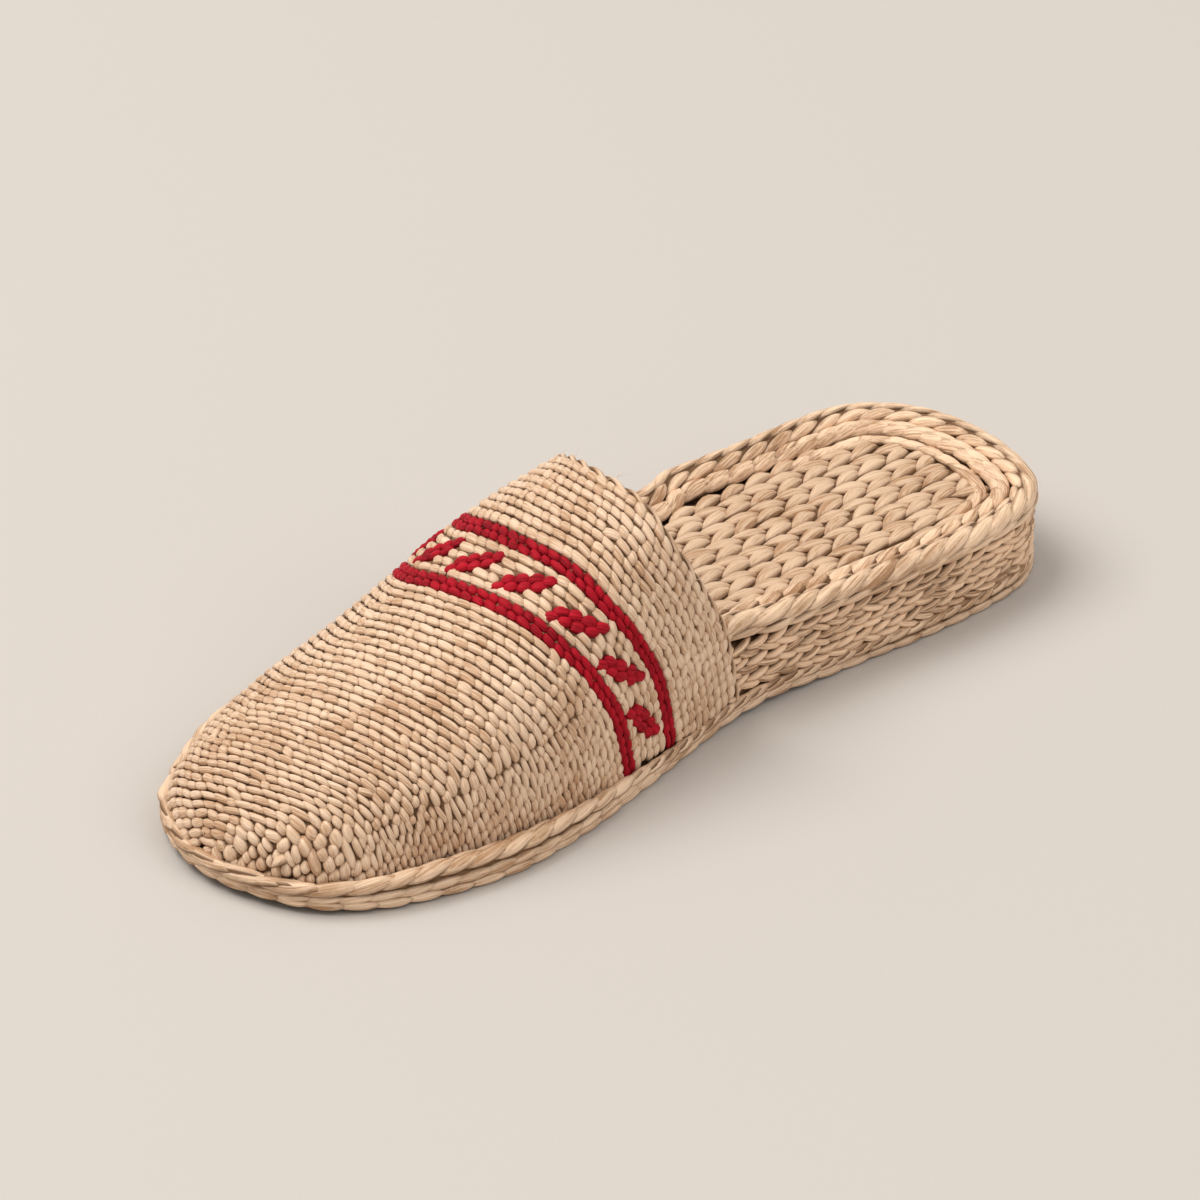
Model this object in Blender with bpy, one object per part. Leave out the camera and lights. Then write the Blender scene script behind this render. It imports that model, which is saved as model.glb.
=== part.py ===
"""A plaited straw slipper for the right foot: an open-backed mule with a woven upper.

The toe points along +X, the medial side is at +Y and the sole rests on Z = 0. Sizes are in metres.
Places along the foot are distances from the back of the heel, called "along" below.
"""

from math import acos, cos, hypot, pi, radians, sin

import bpy
import numpy as np

MM = 0.001

# Overall sizes
LENGTH = 265 * MM
MIDDLE_ALONG = 132.17 * MM  # halfway between the rim's back and the toe
AXIS_Y = 1.75 * MM          # heel-to-toe axis, measured from the middle of the width
GAP = 0.3 * MM              # clearance between neighbouring pieces

# Ground outline: share of the length, reach of the medial side, reach of the lateral side (mm)
OUTLINE = (
    (0.02, 25.5, 23.0),
    (0.06, 34.5, 34.0),
    (0.12, 37.5, 37.5),
    (0.20, 37.5, 38.5),
    (0.32, 35.0, 42.0),
    (0.45, 35.0, 46.0),
    (0.58, 42.5, 51.5),
    (0.68, 48.5, 53.8),
    (0.76, 50.5, 53.4),
    (0.85, 46.5, 47.5),
    (0.92, 39.0, 37.0),
    (0.97, 26.5, 25.5),
    (0.99, 14.0, 14.5),
)

# Floor clearance of the underside
HEEL_ROLL = 12 * MM         # length of the rounded back edge
HEEL_ROLL_LIFT = 1.0 * MM
ARCH_BACK = 75 * MM         # the waist is off the floor between these two
ARCH_FRONT = 138 * MM
ARCH_LIFT = 1.6 * MM
SPRING_START = 215 * MM     # the toe rises from here
SPRING_LIFT = 2.0 * MM

# Sole
OUTSOLE_THICK = 2.5 * MM
OUTSOLE_EDGE = 1.0 * MM     # how far the outsole's two rows of edge cord bulge
CORE_TOP_HEEL = 18.2 * MM   # top of the midsole over the floor clearance
CORE_TOP_FORE = 8.0 * MM
RAMP_BACK = 120 * MM        # the midsole thins out between these two
RAMP_FRONT = 172 * MM
SIDE_ROWS = 5               # rows of twined cord on the side of the heel
SIDE_ROW_RELIEF = 0.55 * MM
SIDE_INSET = 1.5 * MM       # the heel's side lies this far inside the ground outline
INSOLE_THICK = 4.7 * MM
INSOLE_ROWS = 7             # plaited rows that run along the footbed
INSOLE_RELIEF = 0.7 * MM
INSOLE_SIDE_ROOM = 3.2 * MM  # room for the upper's inward lean beside the footbed
INSOLE_FACET = 8 * MM       # it starts to widen this far ahead of the plaits' ends

# Border plait on the ground, around the whole shoe: along, height, width (mm)
WELT = (
    (0, 3.0, 2.6),
    (60, 3.0, 2.6),
    (88, 2.4, 1.6),
    (132, 2.4, 1.6),
    (155, 3.6, 2.6),
    (178, 4.9, 4.5),
    (200, 6.0, 6.2),
    (222, 6.4, 6.2),
    (243, 5.4, 4.3),
    (258, 4.0, 2.2),
    (265, 3.4, 1.6),
)
WELT_STRAND = 27 * MM       # length of one turn of the twist

# Rim plait and inner plait, along the top edge of the heel and waist
RIM_WIDTH = 7.8 * MM
RIM_HEIGHT = 8.0 * MM
RIM_OVERHANG = 0.9 * MM     # how far it stands out past the ground outline
RIM_STRAND = 17 * MM
INNER_WIDTH = 5.6 * MM
INNER_HEIGHT = 6.2 * MM
INNER_STRAND = 15 * MM
RIM_END_MEDIAL = 136 * MM   # both plaits end here, inside the upper
RIM_END_LATERAL = 116 * MM
ROPE_SWELL = 0.07           # share by which a twisted cord's strands swell and shrink

# Upper
WALL = 2.0 * MM
COURSES = 48                # woven rows from the collar to the toe
COURSE_RELIEF = 0.4 * MM
UPPER_FRONT = 200 * MM      # the toe rounding starts here
TOE_ROUNDING = (3.2, 2.5)   # exponents along the foot and in height
SECTION_POWER = (2.25, 2.3)  # fullness of the cross-section at the collar and at the toe
SECTION_BACK = 120 * MM     # the cross-section changes evenly between these two
SECTION_FRONT = 240 * MM
CREST_SHIFT = (12.5 * MM, 11.5 * MM)  # the instep's ridge lies this far towards the medial side
CREST_FADE = 60 * MM        # the shift fades out over this length at the toe

# Height of the upper's ridge over the floor: along, height (mm)
RIDGE = (
    (95, 74.0),
    (120, 69.5),
    (145, 64.0),
    (170, 53.5),
    (195, 43.0),
    (220, 35.5),
    (245, 31.8),
    (265, 30.0),
)

# Collar edge: angle around the section from the medial side (degrees), along (mm)
COLLAR = (
    (0, 118),
    (18, 122),
    (36, 129),
    (60, 135),
    (90, 135.5),
    (120, 129.5),
    (150, 113),
    (168, 98.5),
    (180, 89.5),
)

# Inset of the upper's foot from the ground outline, where it stands on the waist
UPPER_INSET_WAIST = 0.6 * MM
UPPER_INSET_BACK = 126 * MM   # behind this the upper stands on the plait
UPPER_INSET_FRONT = 150 * MM  # ahead of this it stands behind the plait

# Where the sole ducks under the upper, ahead of each end of the collar
COVER_START = -16 * MM      # measured along the foot from the collar's end
COVER_END = -1 * MM
MIDSOLE_ROOM = {"medial": 0.4 * MM, "lateral": 1.0 * MM}  # room for the wall's inward lean
RIM_ROOM = {"medial": 0.7 * MM, "lateral": 1.9 * MM}

# How finely the pieces are faceted
RING = 84                   # points of a ring around the sole
ACROSS = 16                 # cells across the upper
INSIDE_STEP = 4             # cells of the upper's outside for each cell of its inside
RIM_STATION = 4.6 * MM      # distance between a cord's rings
INNER_STATION = 5.0 * MM
WELT_STATION = 5.2 * MM
NORMAL_STEP = 0.002         # turn over which the outline's direction is taken

COLOURS = {
    "straw": (0.60, 0.40, 0.25, 1.0),
    "pale_straw": (0.68, 0.48, 0.31, 1.0),
    "dark_straw": (0.45, 0.29, 0.17, 1.0),
}


# ---------------------------------------------------------------- curves

def hermite(left, right, x):
    """A cubic between two (place, value, slope) knots."""
    width = right[0] - left[0]
    t = (x - left[0]) / width
    start = (1 + 2 * t) * (1 - t) ** 2 * left[1] + t * (1 - t) ** 2 * left[2] * width
    end = t * t * (3 - 2 * t) * right[1] + t * t * (t - 1) * right[2] * width
    return start + end


def smooth_curve(places, values):
    """A smooth function through the given values, flat where they turn."""
    steps = np.diff(values) / np.diff(places)
    slopes = [steps[0]]
    for before, after in zip(steps[:-1], steps[1:]):
        slopes.append(0.0 if before * after <= 0 else 2 * before * after / (before + after))
    slopes.append(steps[-1])
    knots = list(zip(places, values, slopes))

    def curve(x):
        x = min(max(x, places[0]), places[-1])
        index = min(max(int(np.searchsorted(places, x)) - 1, 0), len(knots) - 2)
        return hermite(knots[index], knots[index + 1], x)

    return curve


def table_curve(rows, column, place_unit=MM, value_unit=MM):
    """The smooth function of one column of a table, over its first column."""
    places = [row[0] * place_unit for row in rows]
    values = [row[column] * value_unit for row in rows]
    return smooth_curve(places, values)


def ease(x, start, end):
    """0 before start, 1 after end and a smooth step between them."""
    t = min(max((x - start) / (end - start), 0.0), 1.0)
    return t * t * (3 - 2 * t)


def outline_curve():
    """The outline's y as a periodic function of the turn around it.

    The turn is 0 at the back of the heel, pi at the toe, and runs along the medial side first.
    """
    medial = [(acos(1 - 2 * share), reach * MM) for share, reach, _ in OUTLINE]
    lateral = [(2 * pi - acos(1 - 2 * share), -reach * MM) for share, _, reach in reversed(OUTLINE)]
    knots = [(0.0, 0.0)] + medial + [(pi, 0.0)] + lateral
    before = [(turn - 2 * pi, y) for turn, y in knots[-2:]]
    after = [(turn + 2 * pi, y) for turn, y in knots[:3]]
    knots = before + knots + after
    turns = [turn for turn, _ in knots]
    values = [y for _, y in knots]
    slopes = np.gradient(values, turns)
    rows = list(zip(turns, values, slopes))

    def curve(turn):
        turn = turn % (2 * pi)
        index = int(np.searchsorted(turns, turn, side="right")) - 1
        return hermite(rows[index], rows[index + 1], turn)

    return curve


OUTLINE_Y = outline_curve()
WELT_HEIGHT = table_curve(WELT, 1)
WELT_WIDTH = table_curve(WELT, 2)
RIDGE_HEIGHT = table_curve(RIDGE, 1)
COLLAR_ALONG = table_curve(COLLAR, 1, place_unit=radians(1))


def outline_point(turn):
    return np.array((LENGTH / 2 * (1 - cos(turn)), OUTLINE_Y(turn)))


def outline_normal(turn):
    """Unit vector that points out of the outline."""
    dx, dy = outline_point(turn + NORMAL_STEP) - outline_point(turn - NORMAL_STEP)
    size = hypot(dx, dy)
    return np.array((-dy / size, dx / size))


def inset_point(turn, inset):
    """Point inside the outline, as (along, y from the axis)."""
    return outline_point(turn) - inset * outline_normal(turn)


def is_medial(turn):
    return turn % (2 * pi) < pi


def clearance(along):
    """Height of the underside over the floor."""
    roll = HEEL_ROLL_LIFT * max(0.0, 1 - along / HEEL_ROLL) ** 2
    middle = (ARCH_BACK + ARCH_FRONT) / 2
    arch = ARCH_LIFT * ease(along, ARCH_BACK, middle) * (1 - ease(along, middle, ARCH_FRONT))
    spring = SPRING_LIFT * max(0.0, (along - SPRING_START) / (LENGTH - SPRING_START)) ** 2
    return roll + arch + spring


def core_top(along):
    """Height of the midsole's top over the underside."""
    return CORE_TOP_HEEL + (CORE_TOP_FORE - CORE_TOP_HEEL) * ease(along, RAMP_BACK, RAMP_FRONT)


def upper_inset(along):
    """Distance from the ground outline to the outside of the upper, at its foot."""
    behind_plait = WELT_WIDTH(along) + GAP
    blend = ease(along, UPPER_INSET_BACK, UPPER_INSET_FRONT)
    return UPPER_INSET_WAIST + (behind_plait - UPPER_INSET_WAIST) * blend


def upper_foot(along):
    """Height of the upper's foot over the underside."""
    on_plait = OUTSOLE_THICK + WELT_HEIGHT(UPPER_INSET_BACK) + 2 * GAP
    on_outsole = OUTSOLE_THICK + GAP
    return on_plait + (on_outsole - on_plait) * ease(along, UPPER_INSET_FRONT, RAMP_FRONT)


def covered(along, medial):
    """1 where the upper covers the side of the sole, 0 at the bare heel."""
    edge = COLLAR[0][1] * MM if medial else COLLAR[-1][1] * MM
    return ease(along, edge + COVER_START, edge + COVER_END)


def side_room(rooms, medial):
    return rooms["medial"] if medial else rooms["lateral"]


# ---------------------------------------------------------------- meshes

def place(along, y, z):
    """World position of a point given by its distance from the heel and from the axis."""
    return (along - MIDDLE_ALONG, y + AXIS_Y, z)


def make_object(name, verts, faces, material, angle=40):
    """A new object whose faces all point outwards."""
    mesh = bpy.data.meshes.new(name)
    mesh.from_pydata(verts, [], faces)
    mesh.validate()
    mesh.shade_smooth()
    mesh.set_sharp_from_angle(angle=radians(angle))
    mesh.materials.append(material)
    obj = bpy.data.objects.new(name, mesh)
    bpy.context.scene.collection.objects.link(obj)
    return obj


def make_material(name, colour, roughness):
    material = bpy.data.materials.new(name)
    material.use_nodes = True
    shader = material.node_tree.nodes["Principled BSDF"]
    shader.inputs["Base Color"].default_value = colour
    shader.inputs["Roughness"].default_value = roughness
    shader.inputs["Metallic"].default_value = 0.0
    return material


def ring_points(inset, height):
    """Points of a ring around the sole; inset and height are functions of (along, medial)."""
    points = []
    for index in range(RING):
        turn = 2 * pi * index / RING
        along, _ = outline_point(turn)
        medial = is_medial(turn)
        along, y = inset_point(turn, inset(along, medial))
        points.append(place(along, y, clearance(along) + height(along, medial)))
    return points


def ladder(first, up):
    """Faces that close a ring across the foot; first is the index of its first point."""
    half = RING // 2
    faces = []
    for index in range(half):
        corners = [index, index + 1, RING - index - 1, RING - index]
        corners = [first + corner % RING for corner in dict.fromkeys(c % RING for c in corners)]
        faces.append(corners if not up else corners[::-1])
    return faces


def stacked_rings(levels):
    """A closed solid through rings given from the bottom up, each an (inset, height) pair."""
    verts = []
    faces = ladder(0, up=False)
    for inset, height in levels:
        verts += ring_points(inset, height)
    for level in range(len(levels) - 1):
        for index in range(RING):
            beside = (index + 1) % RING
            low = level * RING
            high = low + RING
            faces.append((low + index, high + index, high + beside, low + beside))
    faces += ladder((len(levels) - 1) * RING, up=True)
    return verts, faces


def even_turns(start, end, step):
    """Turns around the outline from start to end, evenly spaced in length."""
    fine = np.linspace(start, end, 1200)
    points = np.array([outline_point(turn) for turn in fine])
    lengths = np.concatenate(([0.0], np.cumsum(np.hypot(*np.diff(points, axis=0).T))))
    count = round(lengths[-1] / step)
    wanted = np.linspace(0, lengths[-1], count + 1)
    return list(zip(np.interp(wanted, lengths, fine), wanted))


def rope(turns, centre, sides, strand, closed):
    """A twisted two-strand cord along the outline.

    centre gives (inset, height, half width, half height) for (along, medial).
    """
    verts = []
    stations = turns[:-1] if closed else turns
    total = turns[-1][1]
    twists = round(total / strand)
    for turn, distance in stations:
        along, _ = outline_point(turn)
        inset, height, half_width, half_height = centre(along, is_medial(turn))
        normal = outline_normal(turn)
        middle = inset_point(turn, inset)
        for side in range(sides):
            angle = 2 * pi * side / sides
            swell = 1 - ROPE_SWELL + ROPE_SWELL * cos(2 * angle - 2 * pi * twists * distance / total)
            along, y = middle + normal * half_width * swell * cos(angle)
            z = clearance(middle[0]) + height + half_height * swell * sin(angle)
            verts.append(place(along, y, z))
    faces = []
    count = len(stations)
    for index in range(count if closed else count - 1):
        beside = (index + 1) % count
        for side in range(sides):
            nearby = (side + 1) % sides
            faces.append((index * sides + side, index * sides + nearby,
                          beside * sides + nearby, beside * sides + side))
    if not closed:
        faces.append(list(range(sides))[::-1])
        faces.append([(count - 1) * sides + side for side in range(sides)])
    return verts, faces


# ---------------------------------------------------------------- pieces

def build_outsole(material):
    """Flat plaited slab with two rows of edge cord."""
    def level(bulge, share):
        inset = OUTSOLE_EDGE * (1 - bulge)
        return (lambda along, medial: inset, lambda along, medial: OUTSOLE_THICK * share)

    levels = [level(0.0, 0.0), level(1.0, 0.25), level(0.5, 0.5), level(1.0, 0.75), level(0.0, 1.0)]
    return make_object("outsole", *stacked_rings(levels), material)


def build_midsole(material):
    """Thick core whose side shows at the heel as rows of twined cord."""
    foot = OUTSOLE_THICK + GAP
    step = OUTSOLE_THICK + WELT_HEIGHT(0) + 2 * GAP

    def bare_inset(relief):
        return SIDE_INSET + SIDE_ROW_RELIEF * relief

    def inset_at(bare):
        def inset(along, medial):
            under = upper_inset(along) + WALL + GAP + side_room(MIDSOLE_ROOM, medial)
            return bare + (max(under, bare) - bare) * covered(along, medial)
        return inset

    def height_at(share):
        def height(along, medial):
            return step + (core_top(along) - step) * share
        return height

    behind_welt = WELT_WIDTH(0) + 2 * GAP
    levels = [(inset_at(behind_welt), lambda along, medial: foot)]
    levels.append((inset_at(behind_welt), height_at(0.0)))
    for row in range(2 * SIDE_ROWS + 1):
        relief = 1 - row % 2
        levels.append((inset_at(bare_inset(relief)), height_at((row + 0.5) / (2 * SIDE_ROWS + 1))))
    levels.append((inset_at(bare_inset(1)), height_at(1.0)))
    return make_object("midsole", *stacked_rings(levels), material)


def rim_inset(along, medial):
    """Inset of the rim plait's outer side, which ducks under the upper."""
    bare = -RIM_OVERHANG
    under = upper_inset(along) + WALL + GAP + side_room(RIM_ROOM, medial)
    return bare + (under - bare) * covered(along, medial)


def border_turns(step):
    """Turns of the two top plaits, from the lateral end round the heel to the medial end."""
    lateral = -acos(1 - 2 * RIM_END_LATERAL / LENGTH)
    medial = acos(1 - 2 * RIM_END_MEDIAL / LENGTH)
    return even_turns(lateral, medial, step)


def build_rim_plait(material):
    """Thick twisted plait on the top edge of the heel and waist."""
    def centre(along, medial):
        inset = rim_inset(along, medial) + RIM_WIDTH / 2
        height = core_top(along) + GAP + RIM_HEIGHT / 2
        return inset, height, RIM_WIDTH / 2, RIM_HEIGHT / 2

    shape = rope(border_turns(RIM_STATION), centre, 8, RIM_STRAND, closed=False)
    return make_object("rim_plait", *shape, material)


def build_inner_plait(material):
    """Lower row inside the rim plait."""
    def centre(along, medial):
        inset = rim_inset(along, medial) + RIM_WIDTH + GAP + INNER_WIDTH / 2
        height = core_top(along) + GAP + INNER_HEIGHT / 2
        return inset, height, INNER_WIDTH / 2, INNER_HEIGHT / 2

    shape = rope(border_turns(INNER_STATION), centre, 6, INNER_STRAND, closed=False)
    return make_object("inner_plait", *shape, material)


def build_welt_plait(material):
    """Border plait that lies on the outsole's edge, around the whole shoe."""
    def centre(along, medial):
        width = WELT_WIDTH(along)
        tall = WELT_HEIGHT(along)
        return width / 2, OUTSOLE_THICK + GAP + tall / 2, width / 2, tall / 2

    shape = rope(even_turns(0, 2 * pi, WELT_STATION), centre, 7, WELT_STRAND, closed=True)
    return make_object("welt_plait", *shape, material)


def insole_inset(along, medial):
    """The footbed lies inside the two plaits, and inside the upper's wall ahead of them."""
    beside_plaits = rim_inset(along, medial) + RIM_WIDTH + INNER_WIDTH + 3 * GAP
    inside_upper = upper_inset(along) + WALL + INSOLE_SIDE_ROOM
    end = (RIM_END_MEDIAL if medial else RIM_END_LATERAL) + INSOLE_FACET
    return beside_plaits + (inside_upper - beside_plaits) * ease(along, end, RAMP_FRONT + INSOLE_FACET)


def build_insole(material):
    """Footbed mat with plaited rows along the foot."""
    foot = ring_points(insole_inset, lambda along, medial: core_top(along) + GAP)
    edge = ring_points(insole_inset, lambda along, medial: core_top(along) + INSOLE_THICK - INSOLE_RELIEF)
    verts = foot + edge
    faces = ladder(0, up=False)
    for index in range(RING):
        beside = (index + 1) % RING
        faces.append((index, RING + index, RING + beside, beside))
    cells = 2 * INSOLE_ROWS
    half = RING // 2
    rows = [[RING + 0]]
    for index in range(1, half):
        medial = np.array(verts[RING + index])
        lateral = np.array(verts[RING + RING - index])
        row = [RING + index]
        for cell in range(1, cells):
            point = medial + (lateral - medial) * cell / cells
            raised = INSOLE_RELIEF if cell % 2 else 0.0
            row.append(len(verts))
            verts.append((point[0], point[1], point[2] + raised))
        row.append(RING + RING - index)
        rows.append(row)
    rows.append([RING + half])
    for back, front in zip(rows[:-1], rows[1:]):
        for cell in range(cells):
            corners = (back[min(cell, len(back) - 1)], back[min(cell + 1, len(back) - 1)],
                       front[min(cell + 1, len(front) - 1)], front[min(cell, len(front) - 1)])
            faces.append(tuple(dict.fromkeys(corners)))
    return make_object("insole", verts, faces, material)


class UpperForm:
    """The upper's surface at a given depth under its outside."""

    def __init__(self, depth):
        self.depth = depth
        turns = np.linspace(0.35 * pi, pi, 400)
        self.sides = []
        for side_turns in (turns, 2 * pi - turns):
            points = []
            for turn in side_turns:
                along, _ = outline_point(turn)
                points.append(inset_point(turn, upper_inset(along) + depth))
            self.sides.append(np.array(points).T)
        self.front = float(self.sides[0][0][-1])

    def ridge(self, along):
        """Height of the ridge over the upper's foot."""
        foot = clearance(along) + upper_foot(along)
        crest = RIDGE_HEIGHT(along) - self.depth - foot
        run = min(max((along - UPPER_FRONT) / (self.front - UPPER_FRONT), 0.0), 1.0)
        return crest * (1 - run ** TOE_ROUNDING[0]) ** (1 / TOE_ROUNDING[1])

    def point(self, along, angle):
        """Point of the surface; the angle is 0 at the medial foot and pi at the lateral foot."""
        along = min(along, self.front)
        medial, lateral = (float(np.interp(along, *side)) for side in self.sides)
        share = min(max((along - SECTION_BACK) / (SECTION_FRONT - SECTION_BACK), 0.0), 1.0)
        power = 2 / (SECTION_POWER[0] + (SECTION_POWER[1] - SECTION_POWER[0]) * share)
        shift = CREST_SHIFT[0] + (CREST_SHIFT[1] - CREST_SHIFT[0]) * share
        fade = min(1.0, (self.front - along) / CREST_FADE)
        across = cos(angle)
        y = (medial + lateral) / 2 + shift * fade * sin(angle) ** 2
        y += (medial - lateral) / 2 * abs(across) ** power * (1 if across > 0 else -1)
        z = clearance(along) + upper_foot(along) + self.ridge(along) * sin(angle) ** power
        return place(along, y, z)


def course_shares(count):
    """Shares of the way from the collar to the toe, evenly spaced along the ridge."""
    form = UpperForm(0.0)
    start = COLLAR_ALONG(pi / 2)
    run = np.concatenate((np.linspace(0, 0.9, 300), 1 - 0.1 * np.linspace(1, 0, 600)[1:] ** 3))
    places = start + (form.front - start) * run
    heights = [form.ridge(along) + clearance(along) + upper_foot(along) for along in places]
    lengths = np.concatenate(([0.0], np.cumsum(np.hypot(np.diff(places), np.diff(heights)))))
    return np.interp(np.linspace(0, lengths[-1], count + 1), lengths, run)


def build_upper(material):
    """One hollow wall with a raised rib for each woven course, open at the collar and underneath."""
    cells = 2 * COURSES
    shares = course_shares(cells)
    ridge_form = UpperForm(0.0)
    groove_form = UpperForm(COURSE_RELIEF)
    inside_form = UpperForm(WALL)
    verts = []

    def add_row(form, share):
        row = []
        for column in range(ACROSS + 1):
            angle = pi * column / ACROSS
            start = COLLAR_ALONG(angle)
            along = start + (form.front - start) * share
            row.append(len(verts))
            verts.append(form.point(along, min(angle, pi - 1e-9)))
        return row

    def add_tip(form):
        verts.append(form.point(form.front, 0.0))
        return [len(verts) - 1] * (ACROSS + 1)

    outside = [add_row(ridge_form if index % 2 == 0 else groove_form, shares[index])
               for index in range(cells - 1)]
    outside.append(add_tip(ridge_form))
    inside = [add_row(inside_form, shares[index]) for index in range(0, cells - INSIDE_STEP + 1, INSIDE_STEP)]
    inside.append(add_tip(inside_form))

    faces = []

    def add_face(*corners):
        corners = tuple(dict.fromkeys(corners))
        if len(corners) > 2:
            faces.append(corners)

    for back, front in zip(outside[:-1], outside[1:]):
        for column in range(ACROSS):
            add_face(back[column], back[column + 1], front[column + 1], front[column])
    for back, front in zip(inside[:-1], inside[1:]):
        for column in range(ACROSS):
            add_face(back[column], front[column], front[column + 1], back[column + 1])
    for column in range(ACROSS):
        add_face(outside[0][column], inside[0][column], inside[0][column + 1], outside[0][column + 1])
    last = len(outside) - 1
    for index in range(len(inside) - 1):
        start = index * INSIDE_STEP
        end = last if index == len(inside) - 2 else start + INSIDE_STEP
        middle = (start + end) // 2
        for column, flipped in ((0, False), (ACROSS, True)):
            corners = [(inside[index][column], outside[step][column], outside[step + 1][column])
                       for step in range(start, middle)]
            corners.append((inside[index][column], outside[middle][column], inside[index + 1][column]))
            corners += [(inside[index + 1][column], outside[step][column], outside[step + 1][column])
                        for step in range(middle, end)]
            for face in corners:
                add_face(*(face[::-1] if flipped else face))
    return make_object("upper", verts, faces, material, angle=60)


def main():
    for obj in list(bpy.data.objects):
        bpy.data.objects.remove(obj)
    straw = make_material("straw", COLOURS["straw"], 0.72)
    pale = make_material("pale_straw", COLOURS["pale_straw"], 0.7)
    dark = make_material("dark_straw", COLOURS["dark_straw"], 0.8)
    build_outsole(dark)
    build_midsole(dark)
    build_insole(straw)
    build_inner_plait(straw)
    build_rim_plait(pale)
    build_welt_plait(straw)
    build_upper(pale)


main()
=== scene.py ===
"""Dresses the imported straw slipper: twined upper, plaited footbed, rim and border, floor and light."""

from collections import namedtuple
from functools import wraps
from math import acos, cos, pi, radians, sin

import bmesh
import bpy
import numpy as np
from mathutils import Matrix, Vector


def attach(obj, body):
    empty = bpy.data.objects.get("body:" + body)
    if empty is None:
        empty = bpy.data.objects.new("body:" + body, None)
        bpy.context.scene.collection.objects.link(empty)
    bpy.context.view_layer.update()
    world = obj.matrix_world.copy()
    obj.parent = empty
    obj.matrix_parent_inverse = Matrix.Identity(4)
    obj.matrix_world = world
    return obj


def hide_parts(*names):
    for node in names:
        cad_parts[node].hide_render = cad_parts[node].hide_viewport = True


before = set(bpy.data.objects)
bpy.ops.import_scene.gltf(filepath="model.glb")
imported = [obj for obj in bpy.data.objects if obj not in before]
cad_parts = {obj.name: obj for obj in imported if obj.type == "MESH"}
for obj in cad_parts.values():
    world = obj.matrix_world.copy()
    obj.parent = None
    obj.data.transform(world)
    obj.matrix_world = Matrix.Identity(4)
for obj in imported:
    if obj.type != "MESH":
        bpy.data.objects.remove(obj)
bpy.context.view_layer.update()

bl_info = {
    "name": "Straw Slipper",
    "version": (1, 0, 0),
    "blender": (4, 5, 0),
    "location": "3D View > Sidebar > Slipper",
    "description": "Dresses a packed slipper in twined and plaited straw",
    "category": "Object",
}

BODY = "root"
MM = 0.001

# ---------------------------------------------------------------- the slipper's form

# These repeat the sizes of the solids. Places along the foot are measured from the back of the heel.
LENGTH = 265 * MM
MIDDLE_ALONG = 132.17 * MM
AXIS_Y = 1.75 * MM
GAP = 0.3 * MM              # between two solids

# Outline of the sole: share of the length, reach of the medial side, reach of the lateral side (mm)
OUTLINE = (
    (0.02, 25.5, 23.0), (0.06, 34.5, 34.0), (0.12, 37.5, 37.5), (0.20, 37.5, 38.5),
    (0.32, 35.0, 42.0), (0.45, 35.0, 46.0), (0.58, 42.5, 51.5), (0.68, 48.5, 53.8),
    (0.76, 50.5, 53.4), (0.85, 46.5, 47.5), (0.92, 39.0, 37.0), (0.97, 26.5, 25.5),
    (0.99, 14.0, 14.5),
)
HEEL_ROLL = 12 * MM         # the heel's back edge lifts over this length
HEEL_ROLL_LIFT = 1.0 * MM
ARCH_BACK = 75 * MM
ARCH_FRONT = 138 * MM
ARCH_LIFT = 1.6 * MM
SPRING_START = 215 * MM
SPRING_LIFT = 2.0 * MM
OUTSOLE_THICK = 2.5 * MM
CORE_TOP_HEEL = 18.2 * MM
CORE_TOP_FORE = 8.0 * MM
RAMP_BACK = 120 * MM        # the core's top slopes down between these two places
RAMP_FRONT = 172 * MM
INSOLE_THICK = 4.7 * MM
INSOLE_SIDE_ROOM = 3.2 * MM
INSOLE_FACET = 8 * MM

# Border plait: along, height, width (mm)
WELT = (
    (0, 3.0, 2.6), (60, 3.0, 2.6), (88, 2.4, 1.6), (132, 2.4, 1.6), (155, 3.6, 2.6), (178, 4.9, 4.5),
    (200, 6.0, 6.2), (222, 6.4, 6.2), (243, 5.4, 4.3), (258, 4.0, 2.2), (265, 3.4, 1.6),
)
RIM_WIDTH = 7.8 * MM
RIM_HEIGHT = 8.0 * MM
RIM_OVERHANG = 0.9 * MM
INNER_WIDTH = 5.6 * MM
INNER_HEIGHT = 6.2 * MM
RIM_END_MEDIAL = 136 * MM
RIM_END_LATERAL = 116 * MM
RIM_ROOM = (0.7 * MM, 1.9 * MM)      # medial, lateral
WALL = 2.0 * MM
UPPER_FRONT = 200 * MM
TOE_ROUNDING = (3.2, 2.5)
SECTION_POWER = (2.25, 2.3)
SECTION_BACK = 120 * MM
SECTION_FRONT = 240 * MM
CREST_SHIFT = (12.5 * MM, 11.5 * MM)
CREST_FADE = 60 * MM
UPPER_INSET_WAIST = 0.6 * MM
UPPER_INSET_BACK = 126 * MM
UPPER_INSET_FRONT = 150 * MM

# Ridge of the instep: along, height (mm)
RIDGE = (
    (95, 74.0), (120, 69.5), (145, 64.0), (170, 53.5), (195, 43.0), (220, 35.5), (245, 31.8), (265, 30.0),
)
# Collar: angle round the section from the medial side (degrees), along (mm)
COLLAR = (
    (0, 118), (18, 122), (36, 129), (60, 135), (90, 135.5), (120, 129.5), (150, 113), (168, 98.5),
    (180, 89.5),
)

# Twined rows of the upper, counted from the collar
ROW_COUNT = 56
TIP_ROW = 50                # from this row on they close over the tip of the toe
ROW_SHARES = ((0.0, 36.0, 56.0), (0.0, 0.679, 1.0))  # rows, and shares of the ridge at which they lie
REAR_LINE = (9.2, 10.8)     # the two red lines
FRONT_LINE = (15.7, 17.3)
DASH_ROW = 13.5             # middle of the dashes between them
DASH_BAND = (11.2, 15.8)    # rows that the dashes reach
DASH_SLANT = radians(31)
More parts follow.
